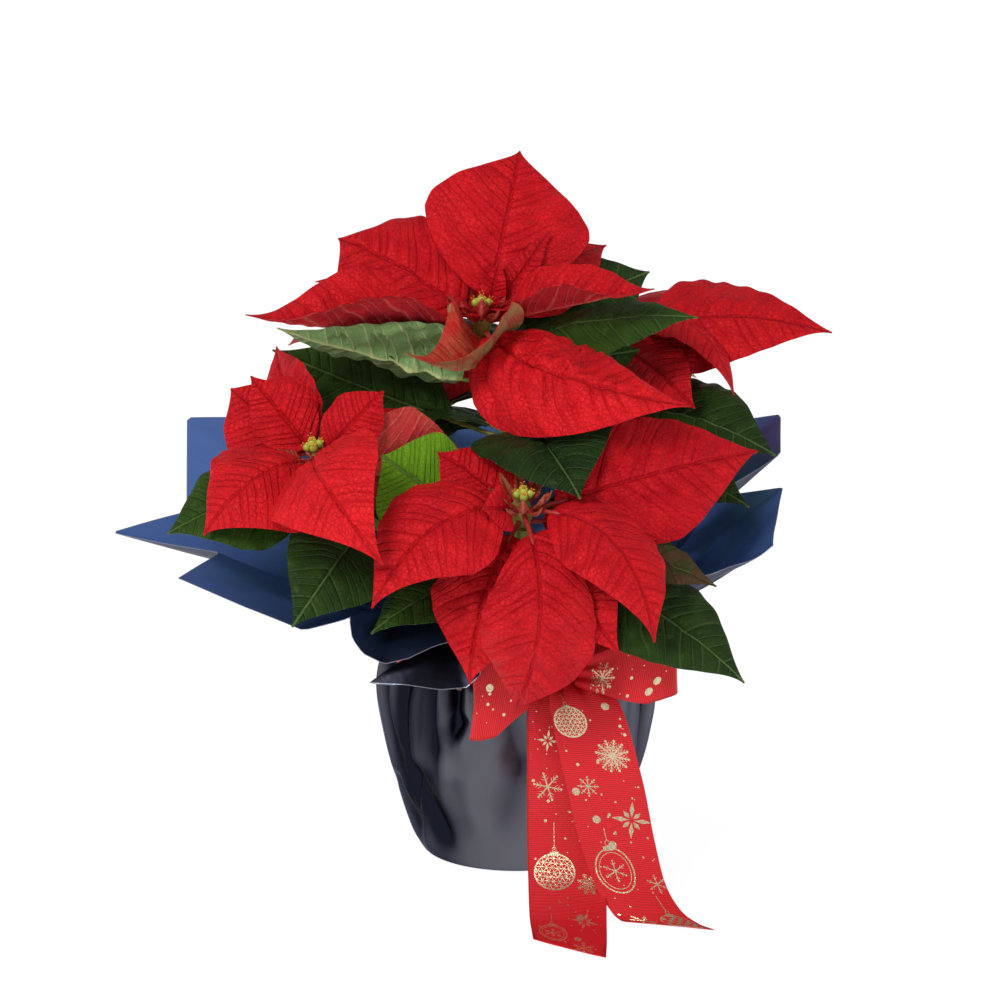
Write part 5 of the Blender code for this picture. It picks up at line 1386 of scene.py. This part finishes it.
# Ribbon loops: the middle line, out along the back and home along the front
loops = {
    "left_loop": ((17, -74, 107), (-3, -80, 103), (-16, -83, 99), (-21, -86, 99), (-18, -90, 100),
                  (-5, -88, 103), (15, -78, 108)),
    "right_loop": ((29, -75, 111), (48, -83, 120), (66, -89, 125), (75, -94, 125), (72, -100, 123),
                   (52, -100, 118), (29, -81, 111)),
}
ribbonPlan = {
    "half": 19.0, "thick": 0.5, "pinch": 0.34, "opening": 2.6, "roughSteps": 13, "rows": 150, "columns": 15,
    "least": 0.4, "pleat": 1.5, "pleatReach": 16, "cup": 0.7, "sway": 0.35, "turnWidth": 17,
}
# Band round the tie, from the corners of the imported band's 28 sides outwards: its size, points and folds
bandPlan = {
    "inner": 66.3 / math.cos(math.pi / 28), "low": 105.0, "high": 117.0, "columns": 300, "rows": 33,
    "thick": 0.4, "folds": 3.5, "foldDepth": 2.9, "tilt": 0.5, "round": 67,
}
knotPlan = {
    "middle": (23, -71, 109), "size": (17, 16, 22), "rings": 33, "sides": 48, "power": 0.72,
    "pleat": 0.09, "pleats": 2.6, "waist": 0.1, "weave": (16, 18),  # the weave's reach across and along
}


def loopEdges(line, count):
    # Lower and upper edge of a bow loop, gathered in at the knot
    middle = smoothLine(line, count)
    share = np.linspace(0, 1, count)
    opened = ribbonPlan["pinch"] + ribbonPlan["opening"] * np.minimum(share, 1 - share)
    half = ribbonPlan["half"] * np.minimum(1, opened)
    side = units(vec((0, 0.12, 1)) - 0.15 * units(np.gradient(middle, axis=0)))
    return middle - side * half[:, None], middle + side * half[:, None]


def roughBow():
    # The bow's loops and tails as bare strips, only for the crossing test
    points, faces = [], []
    strips = [loopEdges(line, ribbonPlan["roughSteps"]) for line in loops.values()]
    strips += [[smoothLine(edge, ribbonPlan["roughSteps"]) for edge in edges] for edges in tails.values()]
    for left, right in strips:
        first = range(len(points), len(points) + 2 * len(left) - 2, 2)
        points += [p for pair in zip(left, right) for p in pair]
        faces += [(i, i + 1, i + 3, i + 2) for i in first]
    return np.array(points), faces


def stripOf(left, right, front, pleatsAt):
    # A strip of ribbon between two edges, pleated where the knot draws it in. Its places are millimetres
    # across from the middle and along from the start; front is the sign of the side with the foil.
    v = np.linspace(-1, 1, ribbonPlan["columns"])
    grid = left[:, None] * (1 - v[:, None]) / 2 + right[:, None] * (1 + v[:, None]) / 2
    normal = gridNormals(grid)
    middle = (left + right) / 2
    along = lengthsAlong(middle)
    half = np.linalg.norm(right - left, axis=1) / 2
    reach = ribbonPlan["pleatReach"]
    drawn = np.exp(-(along / reach) ** 2) * pleatsAt[0]
    drawn = drawn + np.exp(-((along[-1] - along) / reach) ** 2) * pleatsAt[1]
    pleat = ribbonPlan["pleat"] * np.sin(2.6 * np.pi * v + 0.6) * drawn[:, None]
    cup = ribbonPlan["cup"] * (1 - v ** 2) * np.sin(along / 23)[:, None]
    sway = ribbonPlan["sway"] * np.sin(along / 9 + 1)[:, None] * v ** 2
    grid = grid + normal * (pleat + (cup + sway))[..., None]
    grid[..., 2] = np.maximum(grid[..., 2], ribbonPlan["least"])
    normal = gridNormals(grid)
    x = half[:, None] * v
    return {"grid": grid, "normal": normal, "x": x, "y": along, "front": front}


def addStrip(parts, strip):  # both sides of the ribbon, half its thickness off the middle
    lift = strip["normal"] * ribbonPlan["thick"] / 2
    y = np.broadcast_to(strip["y"][:, None], strip["x"].shape)
    place = np.stack([strip["x"], y, 0 * y], -1).reshape(-1, 3)
    parts.sheet(strip["grid"] + lift, strip["grid"] - lift, ribbonPlace=(place, place))


def addBand(parts):
    # Ribbon drawn into four soft folds round the tie
    low, high = bandPlan["low"], bandPlan["high"]
    columns, rows = bandPlan["columns"], bandPlan["rows"]
    level = np.linspace(low, high, rows)[:, None]
    a = np.linspace(0, 2 * np.pi, columns, endpoint=False)[None]
    t = (level - low) / (high - low)
    wander = 0.05 * np.sin(3 * a + 1) + 0.03 * np.sin(7 * a)
    fold = np.abs(np.sin(np.pi * (bandPlan["folds"] * t + wander + 0.25))) ** 0.7
    fold = bandPlan["foldDepth"] * fold * np.sin(np.pi * (0.06 + 0.88 * t)) ** 0.4
    radius = bandPlan["inner"] + bandPlan["thick"] + fold
    level = level + bandPlan["tilt"] * np.sin(5 * a)
    outer = np.stack(np.broadcast_arrays(radius * np.cos(a), radius * np.sin(a), level), -1)
    inner = outer - gridNormals(outer, True) * bandPlan["thick"]
    spread = np.broadcast_to((t - 0.5) * 2 * ribbonPlan["turnWidth"], radius.shape)
    place = np.stack([spread, np.broadcast_to(a * bandPlan["round"], radius.shape), 0 * radius], -1)
    place = place.reshape(-1, 3)
    parts.sheet(outer, inner, True, ribbonPlace=(place, place))


def addKnot(parts):
    # The short turn of ribbon that holds the bow: a rounded block with upright pleats
    rings, sides = knotPlan["rings"], knotPlan["sides"]
    b = np.linspace(-0.5 * np.pi, 0.5 * np.pi, rings)[:, None]
    a = np.linspace(0, 2 * np.pi, sides, endpoint=False)[None]

    def bent(value):
        return np.sign(value) * np.abs(value) ** knotPlan["power"]

    x = bent(np.cos(b)) * bent(np.cos(a))
    y = bent(np.cos(b)) * bent(np.sin(a))
    z = bent(np.sin(b)) * np.ones_like(a)
    pleat = np.abs(np.sin(knotPlan["pleats"] * np.pi * x + 0.5 + 0.5 * z)) ** 2
    pleat = 1 - knotPlan["pleat"] * pleat * np.cos(b) ** 0.5
    waist = 1 - knotPlan["waist"] * (1 - z ** 2)
    size = vec(knotPlan["size"]) / 2
    rise = z * size[2] * (0.55 + 0.45 * pleat)
    points = np.stack([x * size[0] * waist, y * size[1] * pleat, rise], -1) + vec(knotPlan["middle"])
    wall, ends = tubeFaces(rings, sides)
    tops = np.array([points[0].mean(0), points[-1].mean(0)])
    wide, high = knotPlan["weave"]
    place = np.stack([x * wide, z * high, 0 * x], -1).reshape(-1, 3)
    place = np.concatenate([place, [[0, -high, 0], [0, high, 0]]])
    parts.add(np.concatenate([points.reshape(-1, 3), tops]), wall, 0, ends, ribbonPlace=place)


def makeRibbon(finish):
    parts = Parts("ribbonPlace")
    rows = ribbonPlan["rows"]
    strips = {}
    for name, (left, right) in tails.items():
        strips[name] = stripOf(smoothLine(left, rows), smoothLine(right, rows), -1, (1, 0))
    for name, line in loops.items():
        strips[name] = stripOf(*loopEdges(line, rows), 1 if name == "right_loop" else -1, (0.8, 0.8))
    for strip in strips.values():
        addStrip(parts, strip)
    addBand(parts)
    addKnot(parts)
    return parts.piece("ribbon_fine", [finish], "ribbon", "ribbon"), strips


# Foil pattern, in the builder's own layout: dots, snowflakes and plain tree baubles
foil = {"above": 0.07, "sunk": 0.05}


def onStrip(strip, x, y, lift):
    # Points of the ribbon's front at places across and along it, lifted off by a little
    grid, normal = strip["grid"], strip["normal"]
    rows, columns = grid.shape[:2]
    i = np.clip(np.interp(y, strip["y"], np.arange(rows)), 0, rows - 1.001)
    k = i.astype(int)
    half = np.interp(y, strip["y"], strip["x"][:, -1])
    j = np.clip((x / half + 1) / 2 * (columns - 1), 0, columns - 1.001)
    m = j.astype(int)
    p, q = (i - k)[..., None], (j - m)[..., None]

    def mixed(field):
        low = field[k, m] * (1 - q) + field[k, m + 1] * q
        high = field[k + 1, m] * (1 - q) + field[k + 1, m + 1] * q
        return low * (1 - p) + high * p

    away = units(mixed(normal)) * strip["front"]
    return mixed(grid) + away * (ribbonPlan["thick"] / 2 + lift)


class Foil:  # thin closed patches laid on one strip
    def __init__(self, parts, strip):
        self.parts, self.strip = parts, strip

    def patch(self, x, y, closed=False):
        top, low = onStrip(self.strip, x, y, foil["above"]), onStrip(self.strip, x, y, -foil["sunk"])
        if self.strip["front"] > 0:
            top, low = low, top
        self.parts.sheet(top, low, closed)

    def dot(self, x, y, radius):
        s = np.linspace(-1, 1, 5)
        a, b = np.meshgrid(s, s, indexing="ij")
        self.patch(x + radius * a * np.sqrt(1 - b * b / 2), y + radius * b * np.sqrt(1 - a * a / 2))

    def bar(self, x0, y0, x1, y1, width, taper=1.0):
        length = math.hypot(x1 - x0, y1 - y0)
        if length < 0.05:
            return
        n = max(2, int(length / 1.6) + 1)
        t = np.linspace(0, 1, n)[:, None]
        w = width / 2 * (1 + (taper - 1) * t) * np.array([[-1, 1]])
        dx, dy = (x1 - x0) / length, (y1 - y0) / length
        self.patch(x0 + (x1 - x0) * t - dy * w, y0 + (y1 - y0) * t + dx * w)

    def spoke(self, x, y, turn, start, end, width, taper=1.0):
        c, s = math.cos(turn), math.sin(turn)
        self.bar(x + start * c, y + start * s, x + end * c, y + end * s, width, taper)

    def loop(self, x, y, wide, high, width):
        n = max(16, int(2 * math.pi * max(wide, high) / 1.5))
        a = np.linspace(0, 2 * np.pi, n, endpoint=False)
        grow = np.array([[0.5], [-0.5]]) * width
        self.patch(x + (wide + grow) * np.cos(a), y + (high + grow) * np.sin(a), True)

    def flake(self, x, y, radius, turn=0.3, barbs=(0.45, 0.7), arms=6):
        for k in range(arms):
            a = turn + 2 * math.pi * k / arms
            self.spoke(x, y, a, 0.0, radius, 0.075 * radius + 0.2, 0.7)
            for at in barbs:
                px, py = x + at * radius * math.cos(a), y + at * radius * math.sin(a)
                for way in (-1, 1):
                    self.spoke(px, py, a + way * 0.85, 0.0, radius * (0.46 - 0.28 * at), 0.34, 0.6)
            self.dot(x + radius * math.cos(a), y + radius * math.sin(a), 0.07 * radius + 0.12)
        self.dot(x, y, 0.13 * radius)

    def kite(self, x, y, turn, start, end, width):  # a filled four-cornered petal
        middle = (start + end) / 2
        c, s = math.cos(turn), math.sin(turn)
        corners = np.array([(start, 0), (middle, width / 2), (end, 0), (middle, -width / 2)])
        t = np.linspace(0, 1, 3)
        low = corners[0] * (1 - t[:, None]) + corners[1] * t[:, None]
        high = corners[3] * (1 - t[:, None]) + corners[2] * t[:, None]
        grid = low[:, None] * (1 - t[None, :, None]) + high[:, None] * t[None, :, None]
        self.patch(x + grid[..., 0] * c - grid[..., 1] * s, y + grid[..., 0] * s + grid[..., 1] * c)

    def star(self, x, y, radius, turn=0.0, arms=8):
        for k in range(arms):
            a = turn + 2 * math.pi * k / arms
            self.kite(x, y, a, 0.12 * radius, radius * (1 if k % 2 == 0 else 0.62), radius * 0.24)
            self.dot(x + radius * 1.18 * math.cos(a), y + radius * 1.18 * math.sin(a), 0.055 * radius)

    def diamonds(self, x, y, radius, turn=0.0):
        # Nested four-cornered outlines with petals at the corners
        for share in (1.0, 0.62):
            for k in range(4):
                a, b = turn + math.pi / 2 * k, turn + math.pi / 2 * (k + 1)
                r = radius * share
                corners = [(x + r * math.cos(c), y + r * math.sin(c)) for c in (a, b)]
                self.bar(*corners[0], *corners[1], 0.55)
        for k in range(4):
            a = turn + math.pi / 2 * k
            self.kite(x, y, a, radius * 0.1, radius * 0.55, radius * 0.3)
            self.kite(x, y, a, radius * 1.06, radius * 1.45, radius * 0.22)
            self.spoke(x, y, a + math.pi / 4, radius * 0.75, radius * 1.1, 0.5, 0.5)

    def hook(self, x, y, radius, string):
        # Cap, ring and thread of a bauble, towards the knot
        self.bar(x - radius * 0.22, y - radius, x + radius * 0.22, y - radius, radius * 0.2)
        self.loop(x, y - radius * 1.22, radius * 0.1, radius * 0.12, 0.3)
        self.bar(x, y - radius * 1.34, x, y - radius * 1.34 - string, 0.3)

    def latticeBauble(self, x, y, radius, string, turn=0.1):
        self.loop(x, y, radius, radius, 0.7)
        for k in range(3):
            a = turn + math.pi * k / 3
            for off in np.arange(-0.75, 0.76, 0.25) * radius:
                reach = math.sqrt(max(radius ** 2 - off ** 2, 0)) - 0.3
                cx, cy = x - off * math.sin(a), y + off * math.cos(a)
                c, s = math.cos(a) * reach, math.sin(a) * reach
                self.bar(cx - c, cy - s, cx + c, cy + s, 0.4)
        self.hook(x, y, radius, string)

    def checkerBauble(self, x, y, radius, string):
        self.loop(x, y, radius, radius, 0.5)
        step = radius / 4
        for i in range(-4, 4):
            for j in range(-4, 4):
                cx, cy = (i + 0.5) * step, (j + 0.5) * step
                if (i + j) % 2 == 0 and math.hypot(cx, cy) < radius * 0.92:
                    self.bar(x + cx - step / 2, y + cy, x + cx + step / 2, y + cy, step * 0.94)
        self.hook(x, y, radius, string)

    def ovalBauble(self, x, y, wide, high, string):
        self.loop(x, y, wide, high, 0.7)
        self.loop(x, y, wide * 0.82, high * 0.82, 0.35)
        self.flake(x, y, wide * 0.6, 0.5236, (0.6,))
        self.hook(x, y, high, string)


# Where each motif lies: millimetres across and along its strip, then its own measures
foilLayout = {
    "right_tail": (
        ("latticeBauble", -9, 24, 7.5, 6), ("flake", 7, 42, 7.6, 0.3, (0.35, 0.55, 0.75), 12),
        ("flake", -8, 56, 4.6, 0.1, (0.6,), 8), ("star", 9, 74, 9.4, 0.25),
        ("ovalBauble", -5, 98, 8.8, 11.6, 6), ("flake", 12.5, 106, 4.4, 0.5, (0.6,)),
        ("checkerBauble", 9, 132, 8.2, 9), ("flake", -8, 130, 5.4, 0.2),
    ),
    "left_tail": (
        ("star", -9, 30, 5.4, 0.1), ("flake", -9, 52, 6.6, 0.2), ("diamonds", 8, 66, 5.4, 0.3),
        ("latticeBauble", -6, 94, 9.6, 12), ("flake", 10.5, 100, 5.6, 0.35, (0.35, 0.6, 0.8), 8),
        ("star", 8, 124, 6.6, 0.2), ("ovalBauble", -8, 138, 6.8, 9.0, 6), ("flake", 8, 150, 5.8, 0.4),
    ),
    "left_loop": (("diamonds", 2, 74, 5.44, 0.2),),
    "right_loop": (("flake", -3, 96, 7.6, 0.3, (0.4, 0.7), 10),),
}
# Dots strewn between them: how many each millimetre, their reach across and along, sizes and shares
foilDots = {
    "seed": 5, "each": 0.4, "across": 16.5, "from": 16, "short": 4, "edge": 1.5,
    "sizes": (0.3, 0.5, 0.8, 1.9), "shares": (0.45, 0.3, 0.15, 0.1),
}


def makeFoil(finish, strips):
    parts = Parts()
    layers = {name: Foil(parts, strip) for name, strip in strips.items()}
    for name, motifs in foilLayout.items():
        for motif, *measures in motifs:
            getattr(layers[name], motif)(*measures)
    draw = np.random.default_rng(foilDots["seed"])
    for name, strip in strips.items():
        length = strip["y"][-1]
        for _ in range(int(length * foilDots["each"])):
            x = draw.uniform(-foilDots["across"], foilDots["across"])
            y = draw.uniform(foilDots["from"], length - foilDots["short"])
            radius = draw.choice(foilDots["sizes"], p=foilDots["shares"])
            if abs(x) + radius < np.interp(y, strip["y"], strip["x"][:, -1]) - foilDots["edge"]:
                layers[name].dot(x, y, radius)
    parts.piece("ribbon_foil", [finish], "ribbon")


# Soil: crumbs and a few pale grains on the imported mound
soilPlan = {
    "hole": 4.8, "tops": ((4.8, 98.0), (26, 98.8), (46, 97.6), (58.2, 95.0)),
    "low": 3.0, "lowRadius": 40.1, "holeLow": 63.7, "columns": 240, "rows": 60,
    "crumbs": (700, 1.3, 0.7), "grains": (90, 1.2, 0.85), "reach": 56, "rough": 0.35,
    "waves": ((0.5, 6, 0.4), (0.4, 3.7, 2.1), (0.3, 2.3, 1.2), (0.25, 1.5, 2.9), (0.2, 1.1, 0.9)),
}


def soilHeight(radius):
    return np.interp(radius, *zip(*soilPlan["tops"]))


def lumps(count, size, squash):
    # Small uneven stones: an octahedron cut once and pushed about
    corners = vec([(1, 0, 0), (-1, 0, 0), (0, 1, 0), (0, -1, 0), (0, 0, 1), (0, 0, -1)])
    faces = [(a, b, c) for a in (0, 1) for b in (2, 3) for c in (4, 5)]
    points, threes, known = list(corners), [], {}
    for a, b, c in faces:
        if np.cross(corners[b] - corners[a], corners[c] - corners[a]) @ corners[a] < 0:
            b, c = c, b
        middles = []
        for pair in ((a, b), (b, c), (c, a)):
            key = tuple(sorted(pair))
            if key not in known:
                known[key] = len(points)
                points.append(unit(corners[pair[0]] + corners[pair[1]]))
            middles.append(known[key])
        ab, bc, ca = middles
        threes += [(a, ab, ca), (b, bc, ab), (c, ca, bc), (ab, bc, ca)]
    points, threes = np.array(points), np.array(threes)
    radius = soilPlan["hole"] + 1.5 + (soilPlan["reach"] - soilPlan["hole"]) * np.sqrt(chance.random(count))
    bearing = chance.random(count) * 2 * np.pi
    sizes = size * (0.5 + chance.random(count)) * (0.6 + 0.8 * chance.random(count))
    level = soilHeight(radius) + 0.1 * sizes
    centres = np.stack([radius * np.cos(bearing), radius * np.sin(bearing), level], 1)
    rough = 1 + soilPlan["rough"] * (chance.random((count, len(points), 1)) - 0.5)
    shapes = points[None] * rough * (vec((1, 0.8, squash)) * sizes[:, None])[:, None]
    spin = chance.random(count) * np.pi
    c, s = np.cos(spin)[:, None], np.sin(spin)[:, None]
    x, y, z = np.moveaxis(shapes, -1, 0)
    shapes = np.stack([x * c - y * s, x * s + y * c, z], -1)
    shifts = (np.arange(count) * len(points))[:, None, None]
    return (shapes + centres[:, None]).reshape(-1, 3), (threes[None] + shifts).reshape(-1, 3)


def makeSoil(soil, pale):
    columns, rows = soilPlan["columns"], soilPlan["rows"]
    reach = soilPlan["tops"][-1][0]
    radius = np.linspace(soilPlan["hole"], reach, rows)
    a = np.linspace(0, 2 * np.pi, columns, endpoint=False)
    x, y = radius[:, None] * np.cos(a), radius[:, None] * np.sin(a)
    bumps = sum(
        size * np.sin(x / wave * math.cos(turn) + y / wave * math.sin(turn) + turn * 9)
        for size, wave, turn in soilPlan["waves"])
    bumps = bumps + 0.5 * (chance.random(x.shape) - 0.5)
    edge = np.clip((reach - radius) / 2, 0, 1) * np.clip((radius - soilPlan["hole"]) / 1.5, 0, 1)
    top = np.stack([x, y, soilHeight(radius)[:, None] + bumps * edge[:, None] - 0.4], -1)
    down = np.linspace(0, 1, 8)[1:, None, None]
    outer = top[-1] * (1 - down) + around(np.degrees(a), soilPlan["lowRadius"], soilPlan["low"]) * down
    inner = np.stack([around(np.degrees(a), soilPlan["hole"], h) for h in (soilPlan["holeLow"], 80.0)])
    grid = np.concatenate([inner, top, outer])
    wall, fans = tubeFaces(len(grid), columns)
    ends = [[0, 0, soilPlan["holeLow"]], [0, 0, soilPlan["low"]]]
    parts = Parts()
    parts.add(np.concatenate([grid.reshape(-1, 3), ends]), wall[:, [0, 3, 2, 1]], 0, fans[:, [1, 0, 2]])
    for which, (count, size, squash) in enumerate((soilPlan["crumbs"], soilPlan["grains"])):
        points, threes = lumps(count, size, squash)
        parts.add(points, None, which, threes)
    parts.piece("soil_fine", [soil, pale], "soil", "soil")


def main():
    makeCamera()
    makeStudio()
    forms = settlePlant()
    print("blades settled")
    stem = stemFinish()
    makeBracts(forms, bladeFinish("bract"), stem)
    makeLeaves(forms, bladeFinish("leaf"), stem)
    makeBuds(budFinish())
    print("plant made")
    film = makeFilm(filmFinish())
    ribbon, strips = makeRibbon(ribbonFinish())
    makeFoil(foilFinish(), strips)
    makeSoil(soilFinish(), grainFinish())
    moulded = potFinish()
    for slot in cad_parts["pot"].material_slots:
        slot.material = moulded
    print("wrap, bow and pot made")


main()
